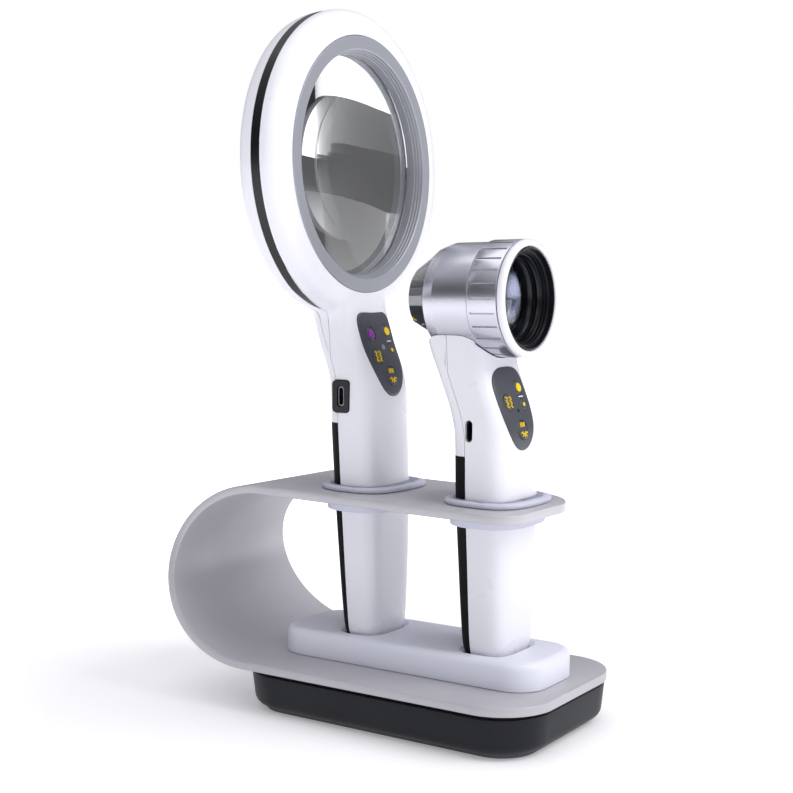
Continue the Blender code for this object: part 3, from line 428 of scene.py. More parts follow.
def sectionRing(bm, outer, inner, near, far, inset):
    # the sheet's cross-section with softened edges
    out, into = Vector((outer[0], 0, outer[1])), Vector((inner[0], 0, inner[1]))
    through = (into - out).normalized()
    thick = (into - out).length
    soft = sheet["edge"]
    made = bmesh.ops.create_circle(bm, cap_ends=False, segments=16, radius=1.0)["verts"]
    corners = ((-near, 0.0, 1, 1), (far, 0.0, -1, 1), (far, thick, -1, -1), (-near, thick, 1, -1))
    for number, (y, depth, sideY, sideDepth) in enumerate(corners):
        for n in range(4):
            angle = pi / 2 * n / 3
            a, b = (1 - sin(angle), 1 - cos(angle)) if number % 2 else (1 - cos(angle), 1 - sin(angle))
            shiftY = (inset + soft * a) * sideY
            shiftDepth = (inset + soft * b) * sideDepth
            place = out + through * (depth + shiftDepth)
            made[4 * number + n].co = (place.x, y + shiftY, place.z)
    return made


def makeSheet():
    bm = bmesh.new()
    path = sheetPath()
    rings = []
    for k, (outer, inner, near, far) in enumerate(path):
        inset = sheet["edge"] * 0.7 if k in (0, len(path) - 1) else 0.0
        rings.append(sectionRing(bm, outer, inner, near, far, inset))
    bridgeRings(bm, rings)
    piece = makeObject("standSheet", bm)
    halfX, halfY = (half + collar["room"] for half in collar["skirt"])
    for x in wells.values():
        hole = bmesh.new()
        bridgeRings(hole, [squareRing(hole, x, halfX, halfY, collar["squareness"], leafTop(x) + z)
                           for z in (-12.0, 12.0)])
        carve(piece, makeObject("collarHole", hole))
    finishPiece(piece, "stand", sheetPaint, ["stand_sheet"], 40.0)
    print("sheet done")


collar = {"lip": (20.6, 26.4), "skirt": (17.9, 24.3), "hole": (15.9, 22.6), "squareness": 2.9, "lift": 0.3,
          "lipHeight": 2.2, "lipRound": 1.2, "holeRound": 1.1, "drop": 5.6, "soft": 0.8, "room": 0.1}


def makeCollar(name, node, x):
    lip, skirt, hole = collar["lip"], collar["skirt"], collar["hole"]
    lift, soft, lipRound, holeRound = (collar[key] for key in ("lift", "soft", "lipRound", "holeRound"))
    top, low = lift + collar["lipHeight"], -sheet["thick"] - collar["drop"]
    # (half sizes, how far grown, height), up the inside, over the lip and down the outside
    steps = [(hole, -0.2, low + 0.4), (hole, 0.0, low + 0.9), (hole, 0.0, top - holeRound)]
    for k in range(1, 5):
        angle = pi / 2 * k / 4
        steps.append((hole, holeRound * (1 - cos(angle)), top - holeRound + holeRound * sin(angle)))
    for k in range(5):
        angle = pi / 2 * k / 4
        steps.append((lip, -lipRound * (1 - sin(angle)), top - lipRound + lipRound * cos(angle)))
    steps += [(lip, 0.0, lift + 0.2), (lip, -0.2, lift), (skirt, 0.0, lift), (skirt, 0.0, low + soft),
              (skirt, -0.25, low + 0.25), (skirt, -soft, low), (hole, 0.3, low)]
    bm = bmesh.new()
    rings = [squareRing(bm, 0.0, size[0] + grow, size[1] + grow, collar["squareness"], z)
             for size, grow, z in steps]
    bridgeRings(bm, rings, closed=True)
    bmesh.ops.rotate(bm, verts=bm.verts, cent=(0, 0, 0), matrix=Matrix.Rotation(radians(sheet["droop"]), 3, "Y"))
    bmesh.ops.translate(bm, verts=bm.verts, vec=(x, 0, leafTop(x)))
    finishPiece(makeObject(name, bm), "stand", collarSilicone, [node], 50.0)
    print(name, "done")


# Handles

handleShell = {"wall": 2.2, "seamBack": 4.6, "seamFoot": 25.0, "seamGap": 0.14, "gripGap": 0.15}
# each station is (height, middle, half depth, half width)
magnifierHandle = {
    "stations": ((33.0, 43.6, 8.6, 14.4), (37.0, 43.6, 10.6, 16.6), (45.0, 43.5, 11.4, 17.9),
                 (80.0, 42.8, 12.8, 20.2), (108.0, 42.0, 13.5, 21.4), (138.0, 40.8, 13.9, 21.7),
                 (152.0, 40.3, 13.9, 21.4),
                 (162.0, 38.8, 13.7, 21.1), (176.0, 33.6, 13.6, 21.0), (190.0, 29.8, 12.8, 21.6),
                 (199.0, 29.6, 9.0, 22.0)),
    "squareness": 3.0, "foot": 33.0, "gripTop": 138.5, "hollow": (31.0, 190.0)}
scopeHandle = {
    "stations": ((33.0, 112.3, 9.2, 14.4), (37.0, 112.3, 11.2, 16.4), (45.0, 112.2, 12.0, 17.6),
                 (80.0, 112.0, 13.3, 19.4), (108.0, 111.6, 13.9, 20.4), (128.0, 111.4, 14.0, 20.5),
                 (138.0, 110.8, 13.9, 20.4), (148.0, 108.2, 13.7, 20.3), (162.0, 102.9, 13.8, 20.2),
                 (176.0, 98.4, 15.2, 20.1), (188.0, 96.5, 16.0, 20.0)),
    "squareness": 3.8, "foot": 33.0, "gripTop": 126.7, "hollow": (31.0, 170.0)}


def stationAt(handle, z):
    # middle, half depth and half width at a height, smoothly between the stations
    stations = handle["stations"]
    last = len(stations) - 1
    k = max(0, min(last - 1, sum(1 for s in stations if s[0] <= z) - 1))
    before, low, high, after = (stations[max(0, min(last, j))] for j in (k - 1, k, k + 1, k + 2))
    span = high[0] - low[0]
    t = max(0.0, min(1.0, (z - low[0]) / span))
    values = []
    for c in (1, 2, 3):
        m0 = (high[c] - before[c]) / (high[0] - before[0]) * span
        m1 = (after[c] - low[c]) / (after[0] - low[0]) * span
        values.append((2 * t**3 - 3 * t**2 + 1) * low[c] + (t**3 - 2 * t**2 + t) * m0
                      + (3 * t**2 - 2 * t**3) * high[c] + (t**3 - t**2) * m1)
    return values


def frontX(handle, y, z):
    middle, halfX, halfY = stationAt(handle, z)
    power = handle["squareness"]
    return middle + halfX * (1 - min(0.98, abs(y) / halfY) ** power) ** (1 / power)


def handleSolid(name, handle, turned, grow=0.0, span=None):
    low, high = span or (handle["foot"], handle["stations"][-1][0])
    count = max(2, round((high - low) / detail["handleStep"]))
    bm = bmesh.new()
    rings = []
    for k in range(count + 1):
        z = low + (high - low) * k / count
        middle, halfX, halfY = stationAt(handle, z)
        rings.append(squareRing(bm, middle, halfX + grow, halfY + grow, handle["squareness"], z))
    bridgeRings(bm, rings)
    return makeObject(name, bm, turned)


cutRoom = {"back": -60.0, "front": 190.0, "side": 60.0, "low": 20.0, "high": 400.0, "reach": 90.0}


def regionBehind(name, points, turned):
    # everything behind an edge line given as (x, z) points
    bm = bmesh.new()
    back, reach = cutRoom["back"], cutRoom["reach"]
    outline = [(back, points[0][1])] + list(points) + [(back, points[-1][1])]
    made = [bm.verts.new((x, -reach, z)) for x, z in outline]
    face = bmesh.ops.contextual_create(bm, geom=made)["faces"]
    drawn = bmesh.ops.extrude_face_region(bm, geom=face)["geom"]
    bmesh.ops.translate(bm, verts=[g for g in drawn if isinstance(g, bmesh.types.BMVert)], vec=(0, 2 * reach, 0))
    return makeObject(name, bm, turned)


def seamLine(handle):
    low, high = handleShell["seamFoot"], handle["hollow"][1]
    count = max(2, round((high - low) / detail["seamStep"]))
    heights = [low + (high - low) * k / count for k in range(count + 1)]
    return [(stationAt(handle, z)[0] - handleShell["seamBack"], z) for z in heights]


def blockCutter(name, low, high, turned):
    bm = bmesh.new()
    bmesh.ops.create_cube(bm, size=1.0)
    bmesh.ops.scale(bm, verts=bm.verts, vec=[b - a for a, b in zip(low, high)])
    bmesh.ops.translate(bm, verts=bm.verts, vec=[(a + b) / 2 for a, b in zip(low, high)])
    return makeObject(name, bm, turned)


def splitShells(body, prefix, handle, line, turned):
    # front shell, rear shell and the grip below it, parted along the seam line
    seamGap, gripGap = handleShell["seamGap"], handleShell["gripGap"]
    back, front, side = cutRoom["back"], cutRoom["front"], cutRoom["side"]
    frontShell = copyOf(body, prefix + "FrontShell")
    carve(frontShell, regionBehind("behind", [(x + seamGap, z) for x, z in line], turned))
    rearShell = copyOf(body, prefix + "RearShell")
    carve(rearShell, regionBehind("behind", [(x - seamGap, z) for x, z in line], turned), "INTERSECT")
    grip = copyOf(rearShell, prefix + "Grip")
    below = handle["gripTop"] + gripGap
    above = handle["gripTop"] - gripGap
    carve(rearShell, blockCutter("below", (back, -side, cutRoom["low"]), (front, side, below), turned))
    carve(grip, blockCutter("above", (back, -side, above), (front, side, cutRoom["high"]), turned))
    bpy.data.objects.remove(body)
    return frontShell, rearShell, grip


# Controls: film, buttons and printed signs

# each button is (node, across, up, radius); the lamp window is (across, up, radius)
magnifierPanel = {
    "z": 171.4, "half": 14.2, "rise": 20.5, "top": 4.6, "dip": 1.5, "lamp": (0.3, 2.6, 1.35), "lampInk": lampInk,
    "buttons": (("mag_button_violet", -7.2, 9.0, 3.6), ("mag_button_brighter", 7.2, 10.0, 3.6),
                ("mag_button_dimmer", 7.2, 1.0, 3.2), ("mag_button_polariser", -6.8, -1.6, 3.8),
                ("mag_button_light_mode", 0.0, -11.0, 4.6))}
scopePanel = {
    "z": 147.8, "half": 13.8, "rise": 18.6, "top": 3.0, "dip": 0.0, "lamp": (0.4, -1.0, 0.9), "lampInk": darkInk,
    "buttons": (("scope_button_polariser", -6.2, 3.0, 3.8), ("scope_button_brighter", 6.4, 9.0, 3.2),
                ("scope_button_dimmer", 6.4, 1.4, 2.8), ("scope_button_light_mode", 0.4, -9.6, 4.4))}
film = {"widest": 0.3, "tip": 2.2, "proud": 0.25, "thick": 1.0, "gap": 0.22, "buttonGap": 0.2,
        "buttonProud": 0.62, "dome": 0.3, "depth": 3.0, "cutBelow": 9.0, "cutAbove": 5.0}


def panelNormal(handle, panel):
    high = frontX(handle, 0.0, panel["z"] + panel["rise"] * 0.6)
    low = frontX(handle, 0.0, panel["z"] - panel["rise"] * 0.6)
    return Vector((panel["rise"] * 1.2, 0.0, low - high)).normalized()


def panelRing(bm, handle, panel, share, offset, grow):
    # a squarish top that runs down to a rounded point, laid on the front of the handle
    made = bmesh.ops.create_circle(bm, cap_ends=False, segments=detail["film"], radius=1.0)["verts"]
    for v in made:
        c, s = v.co.x, v.co.y
        square, reach = (panel["top"], 1 - film["widest"]) if s > 0 else (film["tip"], 1 + film["widest"])
        across = pulled(c, square)
        up = film["widest"] + reach * pulled(s, square)
        y = (panel["half"] + grow) * across * share
        z = panel["z"] + (panel["rise"] + grow) * up * share
        if s > 0:
            z -= panel["dip"] * (1 - across**2) * min(1.0, s * 2) * share   # the top edge hangs in a shallow curve
        v.co = (frontX(handle, y, z) + offset, y, z)
    return made


def panelSolid(name, handle, panel, front, back, grow, turned):
    bm = bmesh.new()
    shares = (0.08, 0.3, 0.5, 0.68, 0.84, 0.94, 1.0)
    rings = [panelRing(bm, handle, panel, share, back, grow) for share in shares]
    rings += [panelRing(bm, handle, panel, 1.0, front - 0.12, grow)]
    rings += [panelRing(bm, handle, panel, share, front, grow) for share in (0.992,) + shares[-2::-1]]
    bridgeRings(bm, rings)
    return makeObject(name, bm, turned)


def buttonFrame(handle, panel, across, up):
    z = panel["z"] + up
    face = Vector((frontX(handle, across, z), across, z))
    return face, panelNormal(handle, panel)


def placeOnFace(bm, face, normal):
    up = Vector((-normal.z, 0.0, normal.x))
    side = Vector((0.0, 1.0, 0.0))
    turn = Matrix((side, up, normal)).transposed()
    bmesh.ops.rotate(bm, verts=bm.verts, cent=(0, 0, 0), matrix=turn)
    bmesh.ops.translate(bm, verts=bm.verts, vec=face)


def plug(name, face, normal, radius, turned):
    bm = bmesh.new()
    below, above = film["cutBelow"], film["cutAbove"]
    bmesh.ops.create_cone(bm, cap_ends=True, segments=detail["button"], radius1=radius, radius2=radius,
                          depth=below + above)
    bmesh.ops.translate(bm, verts=bm.verts, vec=(0, 0, (above - below) / 2))
    placeOnFace(bm, face, normal)
    return makeObject(name, bm, turned)


def domedButton(name, face, normal, radius, turned):
    # a short plug whose top swells a little and rolls over at its rim
    bm = bmesh.new()
    proud, dome = film["buttonProud"] - film["dome"], film["dome"]
    rows = [(radius, -film["depth"]), (radius, proud - 0.25), (radius - 0.07, proud - 0.08),
            (radius - 0.25, proud)]
    rows += [(radius * s, proud + dome * (1 - s**2)) for s in (0.85, 0.7, 0.5, 0.3, 0.12)]
    rings = []
    for r, z in rows:
        made = bmesh.ops.create_circle(bm, cap_ends=False, segments=detail["button"], radius=r)["verts"]
        bmesh.ops.translate(bm, verts=made, vec=(0, 0, z))
        rings.append(made)
    bridgeRings(bm, rings)
    placeOnFace(bm, face, normal)
    return makeObject(name, bm, turned)


sign = {"thick": 0.5, "lift": 0.48, "proud": 0.03, "sunk": 0.16}


def addDisc(bm, across, up, radius):
    made = bmesh.ops.create_cone(bm, cap_ends=True, segments=24, radius1=radius, radius2=radius,
                                 depth=sign["thick"])
    bmesh.ops.translate(bm, verts=made["verts"], vec=(across, up, sign["lift"]))


def addBar(bm, a, b, width):
    (x0, y0), (x1, y1) = a, b
    made = bmesh.ops.create_cube(bm, size=1.0)["verts"]
    bmesh.ops.scale(bm, verts=made, vec=(sqrt((x1 - x0)**2 + (y1 - y0)**2), width, sign["thick"]))
    bmesh.ops.rotate(bm, verts=made, cent=(0, 0, 0), matrix=Matrix.Rotation(atan2(y1 - y0, x1 - x0), 3, "Z"))
    bmesh.ops.translate(bm, verts=made, vec=((x0 + x1) / 2, (y0 + y1) / 2, sign["lift"]))


def signStar(bm):
    for k in range(3):
        angle = pi * (k / 3 + 1 / 12)
        addBar(bm, (-2.5 * cos(angle), -2.5 * sin(angle)), (2.5 * cos(angle), 2.5 * sin(angle)), 0.8)
    for k in range(6):
        angle = pi * (k / 3 + 1 / 4)
        addDisc(bm, 1.7 * cos(angle), 1.7 * sin(angle), 0.34)


def signBigDot(bm):
    addDisc(bm, 0, 0, 2.05)


def signSmallDot(bm):
    addDisc(bm, 0, 0, 0.95)


def signMesh(bm):
    # two upright zigzags with a faint line between them
    for side in (-1, 1):
        for k in range(5):
            low, swing = -2.7 + 1.08 * k, 0.55 if k % 2 else -0.55
            addBar(bm, (side * 1.7 - swing, low), (side * 1.7 + swing, low + 1.08), 0.42)
            addBar(bm, (side * 1.7 - 0.8, low + 0.5), (side * 1.7 + 0.8, low + 0.62), 0.26)
    for k in range(4):
        addBar(bm, (0, -2.3 + 1.3 * k), (0, -1.6 + 1.3 * k), 0.3)


def signRays(bm):
    # a small hatch above, rays fanning out below
    for k in range(4):
        addBar(bm, (-1.9 + 1.1 * k, 1.3), (-1.3 + 1.1 * k, 3.4), 0.5)
    for k in range(5):
        angle = pi * (0.1 + 0.2 * k)
        addBar(bm, (-1.0 * cos(angle), -0.7 - 0.9 * sin(angle)),
               (-2.9 * cos(angle), -0.7 - 2.9 * sin(angle)), 0.58)


buttonSigns = {"violet": (signStar, violetInk), "brighter": (signBigDot, yellowInk),
               "dimmer": (signSmallDot, yellowInk), "polariser": (signMesh, yellowInk),
               "light_mode": (signRays, yellowInk)}


def makeControls(prefix, body, handle, panel, shell, turned):
    gap = film["gap"]
    carve(shell, panelSolid("recess", handle, panel, film["cutAbove"], -film["thick"] - gap, gap, turned))
    plate = panelSolid(prefix + "PanelFilm", handle, panel, film["proud"], -film["thick"], 0.0, turned)
    for name, across, up, radius in panel["buttons"]:
        face, normal = buttonFrame(handle, panel, across, up)
        hole = plug("buttonHole", face, normal, radius + film["buttonGap"], turned)
        carve(plate, hole, keep=True)
        carve(shell, hole)
        button = domedButton(name + ".cap", face, normal, radius, turned)
        finishPiece(button, name, panelFilm, [name], 45.0)
        kind = next(key for key in buttonSigns if key in name)
        draw, ink = buttonSigns[kind]
        bm = bmesh.new()
        draw(bm)
        bmesh.ops.translate(bm, verts=bm.verts, vec=(0, 0, sign["proud"]))
        placeOnFace(bm, face, normal)
        finishPiece(makeObject(name + ".sign", bm, turned), name, ink)
    finishPiece(plate, body, panelFilm, [prefix + "_panel"], 40.0)
    brighter, dimmer = (panel["buttons"][k] for k in (1, 2))
    dash, lamp = bmesh.new(), bmesh.new()
    addBar(dash, (-1.9, 0.0), (1.9, 0.0), 0.5)
    addDisc(lamp, 0, 0, panel["lamp"][2])
    between = (brighter[1], (brighter[2] + dimmer[2]) / 2 - 0.2)
    printed = (("dash", dash, between, whiteInk), ("lamp", lamp, panel["lamp"][:2], panel["lampInk"]))
    for key, bm, spot, ink in printed:
        face, normal = buttonFrame(handle, panel, *spot)
        bmesh.ops.translate(bm, verts=bm.verts, vec=(0, 0, film["proud"] - sign["lift"] - sign["sunk"]))
        placeOnFace(bm, face, normal)
        finishPiece(makeObject(prefix + "." + key, bm, turned), body, ink)
    print(prefix, "controls done")


# Lenses and ports

def lensProfile(edgeBack, edgeFront, radius, back, front):
    # half of a section bulging on both sides, from pole to pole
    steps = detail["lens"]
    profile = [(back, 0.0)]
    profile += [(back + (edgeBack - back) * (k / steps) ** 2, radius * k / steps) for k in range(1, steps + 1)]
    profile += [(front + (edgeFront - front) * (k / steps) ** 2, radius * k / steps)
                for k in range(steps, 0, -1)]
    return profile + [(front, 0.0)]


port = {"halfHeight": 4.7, "halfWidth": 1.7, "magnifier": (38.0, 151.3), "scope": (108.8, 138.3),
        "plate": (4.9, 7.9), "corner": 2.0, "plateGap": 0.25, "plateFrom": -22.0, "plateTo": -18.4,
        "cutFrom": -40.0}


def portBlock(name, x, z, halfX, halfZ, y0, y1):
    bm = bmesh.new()
    made = bmesh.ops.create_cube(bm, size=1.0)["verts"]
    bmesh.ops.scale(bm, verts=made, vec=(2 * halfX, y1 - y0, 2 * halfZ))
    bmesh.ops.translate(bm, verts=made, vec=(x, (y0 + y1) / 2, z))
    along = [e for e in bm.edges if abs(e.verts[0].co.y - e.verts[1].co.y) > 1.0]
    bmesh.ops.bevel(bm, geom=along, offset=port["corner"], offset_type="OFFSET", segments=6, profile=0.5,
                    affect="EDGES", material=-1)
    return makeObject(name, bm, True)


def stadium(name, x, z, y0, y1, margin, turned):
    # a slot with round ends, upright in the side of a handle
    bm = bmesh.new()
    halfW = port["halfWidth"] + margin
    reach = port["halfHeight"] - port["halfWidth"]
    rings = []
    for y in (y0, y1):
        made = bmesh.ops.create_circle(bm, cap_ends=False, segments=32, radius=1.0)["verts"]
        for v in made:
            c, s = v.co.x, v.co.y
            v.co = (x + halfW * c, y, z + halfW * s + copysign(reach, s if abs(s) > 1e-6 else 1))
        rings.append(made)
    bridgeRings(bm, rings)
    return makeObject(name, bm, turned)


# Magnifier

head = {"z": 261.2, "radius": 73.5, "back": 16.6, "front": 38.8, "inner": 58.0, "seam": 24.9, "bandFrom": 25.0,
        "bandTo": 29.8, "bandRoom": 0.1, "bandGap": 20.0, "bandPoint": 16.0}
headRooms = {"boreCut": (20.5, 60.0, 30.0, 61.05), "rearPocket": (0.0, 23.9, 30.0, 66.45),
             "lampRoom": (19.0, 35.2, 60.0, 69.4)}
neckBlend = {"turns": 44, "from": 14.0, "to": 5.0, "top": 215.0, "side": 40.0, "ease": 0.8}


def annulus(name, x0, x1, inner, outer):
    return spun(name, [(x0, inner), (x1, inner), (x1, outer), (x0, outer)], head["z"], True)


def bandSolid(name, inner, outer, x0, x1, spare):
    # the black band's ring, whose two ends at the neck run out to points
    bm = bmesh.new()
    arc = 360 - 2 * (head["bandGap"] - spare)
    profile = [(x0, inner), (x1, inner), (x1, outer), (x0, outer)]
    spinProfile(bm, profile, head["z"], arc=arc, start=180 + head["bandGap"] - spare)
    for v in bm.verts:
        angle = abs(degrees(atan2(v.co.y, head["z"] - v.co.z)))
        left = angle - (head["bandGap"] - spare)
        if left < head["bandPoint"]:
            share = max(0.06, sqrt(max(0.0, left / head["bandPoint"])))
            v.co.x = x1 - (x1 - v.co.x) * share
    return makeObject(name, bm, True)


def neckDistance(co):
    # how far a point lies from the line where ring and handle meet, in metres
    turned = Matrix.Rotation(-radians(magnifierTurn["degrees"]), 3, "Z")
    middle = Vector((shiftX + magnifierTurn["middle"] * mm, 0, 0))
    flat = turned @ (co - middle) + middle
    radial = sqrt(flat.y**2 + (flat.z - head["z"] * mm) ** 2)
    if flat.z > neckBlend["top"] * mm or abs(flat.y) > neckBlend["side"] * mm:
        return 1.0
    return abs(radial - head["radius"] * mm) * neckBlend["ease"]


def makeMagnifierShells():
    back, face = head["back"], head["front"]
    outline = softCurve([(back, 66.0), (back, 69.2), (18.0, 71.7), (21.0, 72.8), (26.0, 73.4),
                         (30.2, head["radius"]), (33.2, 73.0), (35.8, 71.2), (37.6, 68.4), (38.6, 65.0),
                         (face, 60.0)], 5)
    body = spun("magnifierBody", outline + [(face, head["inner"]), (back, head["inner"])], head["z"], True)
    carve(body, handleSolid("handle", magnifierHandle, True), "UNION", "EXACT")
    even = body.modifiers.new("even", "REMESH")
    even.mode = "VOXEL"
    even.voxel_size = detail["voxel"] * 1
    applyModifiers(body)
    bm = bmesh.new()
    bm.from_mesh(body.data)
    bmesh.ops.smooth_vert(bm, verts=bm.verts, factor=0.5, use_axis_x=True, use_axis_y=True, use_axis_z=True)
    for n in range(neckBlend["turns"]):
        # the ring runs into the neck in a soft hollow, so only that part is relaxed
        reach = neckBlend["from"] - (neckBlend["from"] - neckBlend["to"]) * n / neckBlend["turns"]
        near = [v for v in bm.verts if abs(neckDistance(v.co)) < reach * mm]
        bmesh.ops.smooth_vert(bm, verts=near, factor=0.5, use_axis_x=True, use_axis_y=True, use_axis_z=True)
    bm.to_mesh(body.data)
    bm.free()
    print("magnifier body blended,", len(body.data.polygons), "faces")

    for name, room in headRooms.items():
        carve(body, annulus(name, *room))
    bandFrom, bandTo = head["bandFrom"] - head["bandRoom"], head["bandTo"] + head["bandRoom"]
    carve(body, bandSolid("bandGroove", 69.0, 80.0, bandFrom, bandTo, 0.0))
    carve(body, handleSolid("inside", magnifierHandle, True, -handleShell["wall"], magnifierHandle["hollow"]))
    line = seamLine(magnifierHandle) + [(head["seam"], 199.5), (head["seam"], 345.0)]
    return splitShells(body, "magnifier", magnifierHandle, line, True)


def makeMagnifier():
    front, rear, grip = makeMagnifierShells()
    x, z = port["magnifier"]
    halfX, halfZ = port["plate"]
    gap, cutFrom = port["plateGap"], port["cutFrom"]
    for shell in (front, rear):
        carve(shell, portBlock("portOpening", x, z, halfX, halfZ, cutFrom, -14.0))
    plate = portBlock("magnifierPortPlate", x, z, halfX - gap, halfZ - gap, port["plateFrom"], port["plateTo"])
    carve(plate, stadium("portMouth", x, z, cutFrom, 0.0, 0.3, True))
    finishPiece(plate, "magnifier", glossTrim, ["mag_port_plate"], 32.0, 0.25)
    makeControls("mag", "magnifier", magnifierHandle, magnifierPanel, front, True)
    finishPiece(front, "magnifier", whiteAbs, ["mag_front_shell"], 42.0)
    finishPiece(rear, "magnifier", whiteAbs, ["mag_rear_shell"], 42.0)
    finishPiece(grip, "magnifier", gripRubber, ["mag_grip"], 42.0)
    band = bandSolid("magnifierTrimBand", 69.4, head["radius"] - 0.15, head["bandFrom"], head["bandTo"], -0.6)
    finishPiece(band, "magnifier", glossTrim, ["mag_trim_band"], 40.0, 0.25)
    print("magnifier shells done")


def makeHeadRings():
    z = head["z"]
    # front face, then three shallow steps down the inner wall to the lens seat
    bezel = spun("magnifierBezel", [(24.0, 54.4), (24.0, 56.2), (32.8, 56.2), (32.8, 60.8), (38.7, 60.8),
                                    (39.1, 60.4), (39.1, 54.6), (38.7, 54.1), (37.6, 53.9), (37.5, 53.55),
                                    (36.2, 53.4),
                                    (36.1, 53.1), (34.8, 52.95), (34.7, 52.65), (33.4, 52.5), (30.5, 52.6),
                                    (30.5, 54.4)], z, True)
    finishPiece(bezel, "magnifier", bezelPaint, ["mag_bezel"], 20.0, 0.1)
    retainer = spun("lensRetainer", [(18.6, 50.8), (18.6, 56.2), (23.7, 56.2), (23.7, 52.6), (21.2, 50.6)], z,
                    True)
    finishPiece(retainer, "magnifier", bezelPaint, ["mag_lens_retainer"], 32.0, 0.25)
    ring = spun("lampCover", [(18.0, 56.6), (18.0, 66.2), (19.8, 66.2), (19.8, 56.6)], z, True)
    finishPiece(ring, "magnifier", diffuser, ["mag_light_ring"], 32.0, 0.3)
    lens = spun("magnifierLens", lensProfile(24.4, 30.1, 54.0, 20.2, 36.8), z, True, closed=False)
    finishPiece(lens, "magnifier", lensGlass, ["mag_lens"], 40.0)
    print("head rings and lens done")


# Scope

barrel = {"z": 197.4, "radius": 25.7, "ringFrom": 110.7, "ringTo": 125.8, "ring": 26.6, "grooves": 26,
          "grooveWidth": 0.95, "grooveDepth": 0.75, "grooveShort": 2.6, "grooveShift": 0.3,
          "saddleGap": 0.2, "saddleStep": 110.1, "ringGap": 0.35}


def makeScopeBody():
    # the top of the handle is cupped to the barrel and, further forward, to the wider ring
    solid = handleSolid("scopeBody", scopeHandle, False)
    cup, wide = barrel["radius"] + barrel["saddleGap"], barrel["ring"] + barrel["ringGap"]
    step = barrel["saddleStep"]
    carve(solid, spun("saddle", [(60.0, 0.0), (60.0, cup), (step, cup), (step, wide), (140.0, wide), (140.0, 0.0)],
                      barrel["z"], closed=False))
    carve(solid, handleSolid("inside", scopeHandle, False, -handleShell["wall"], scopeHandle["hollow"]))
    line = seamLine(scopeHandle)
    line.append((line[-1][0], 200.0))
    front, rear, grip = splitShells(solid, "scope", scopeHandle, line, False)
    x, z = port["scope"]
    for shell in (front, rear):
        carve(shell, stadium("portMouth", x, z, port["cutFrom"], -9.0, 0.25, False))
    makeControls("scope", "scope", scopeHandle, scopePanel, front, False)
    finishPiece(front, "scope", whiteAbs, ["scope_front_shell"], 35.0)
    finishPiece(rear, "scope", whiteAbs, ["scope_rear_shell"], 35.0)
    finishPiece(grip, "scope", gripRubber, ["scope_grip"], 35.0)
    print("scope handle done")


def makeBarrel():
    z, r = barrel["z"], barrel["radius"]
    tube = spun("scopeBarrel", [(86.0, 21.7), (86.0, 23.5), (86.3, 23.8), (91.9, 25.6), (92.3, r), (110.0, r),
                                (110.4, r - 0.4), (110.4, 22.6), (125.8, 22.6), (125.8, 21.2), (94.6, 21.2),
                                (94.6, 21.7)], z)
    finishPiece(tube, "scope", satinAluminium, ["scope_barrel"], 12.0, 0.1)
    x0, x1, ringR = barrel["ringFrom"], barrel["ringTo"], barrel["ring"]
    ring = spun("scopeFocusRing", [(x0, 22.9), (x0, ringR - 0.7), (x0 + 0.2, ringR - 0.25), (x0 + 0.8, ringR),
                                   (x1 - 0.6, ringR), (x1 - 0.15, ringR - 0.2), (x1, ringR - 0.6), (x1, 22.9)], z,
                steps=detail["focusRing"])
    cuts = bmesh.new()
    for k in range(barrel["grooves"]):
        made = bmesh.ops.create_cube(cuts, size=1.0)["verts"]
        bmesh.ops.scale(cuts, verts=made, vec=(x1 - x0 - barrel["grooveShort"], barrel["grooveWidth"],
                                                2 * barrel["grooveDepth"]))
        bmesh.ops.translate(cuts, verts=made, vec=((x0 + x1) / 2 + barrel["grooveShift"], 0, z + ringR))
        bmesh.ops.rotate(cuts, verts=made, cent=(0, 0, z),
                         matrix=Matrix.Rotation(2 * pi * (k + 0.5) / barrel["grooves"], 3, "X"))
    carve(ring, makeObject("slots", cuts))
    finishPiece(ring, "focus_ring", satinAluminium, ["scope_focus_ring"], 30.0, 0.12)
    rim = spun("scopeFrontRim", softCurve([(126.1, 23.6), (126.1, 25.9), (126.5, 26.4), (127.6, 26.6),
                                           (128.7, 26.1), (129.4, 25.0), (129.2, 23.9), (128.4, 23.4)], 3), z)
    finishPiece(rim, "scope", whiteAbs, ["scope_front_rim"], 60.0)
    hood = spun("scopeHood", [(121.6, 19.0), (121.6, 20.8), (126.1, 20.8), (126.1, 22.9), (128.4, 23.1),
                              (128.8, 22.6), (128.6, 22.3), (126.2, 22.0), (126.2, 21.5), (124.9, 21.3),
                              (124.9, 20.6),
                              (123.4, 20.3), (123.4, 19.8), (122.4, 19.5)], z)
    finishPiece(hood, "scope", blackAluminium, ["scope_hood"], 32.0, 0.1)
    cell = spun("lensCell", [(107.0, 16.4), (107.0, 20.8), (119.6, 20.8), (119.6, 18.6), (118.4, 17.4),
                             (117.2, 17.1), (117.2, 17.9), (110.0, 17.9), (110.0, 16.4)], z)
    finishPiece(cell, "lens_carrier", blackAluminium, ["scope_lens_cell"], 32.0, 0.1)
    frontLens = spun("scopeFrontLens", lensProfile(110.4, 114.6, 17.5, 107.4, 118.4), z, closed=False)
    finishPiece(frontLens, "lens_carrier", coatedGlass, ["scope_front_lens"], 40.0)
    cap = spun("scopeRearCap", [(72.8, 11.8), (72.8, 14.6), (73.1, 15.2), (73.8, 15.9), (85.3, 22.9), (85.7, 23.3),
                                (85.7, 21.2), (89.0, 21.2), (89.0, 19.4), (76.4, 13.4), (74.4, 11.6)], z)
    finishPiece(cap, "scope", capGloss, ["scope_rear_cap"], 25.0, 0.15)
    eye = spun("eyepieceLens", lensProfile(77.4, 79.4, 13.0, 76.6, 81.4), z, closed=False)
    finishPiece(eye, "scope", coatedGlass, ["scope_eyepiece_lens"], 40.0)
    print("barrel done")


# Dock with its two wells

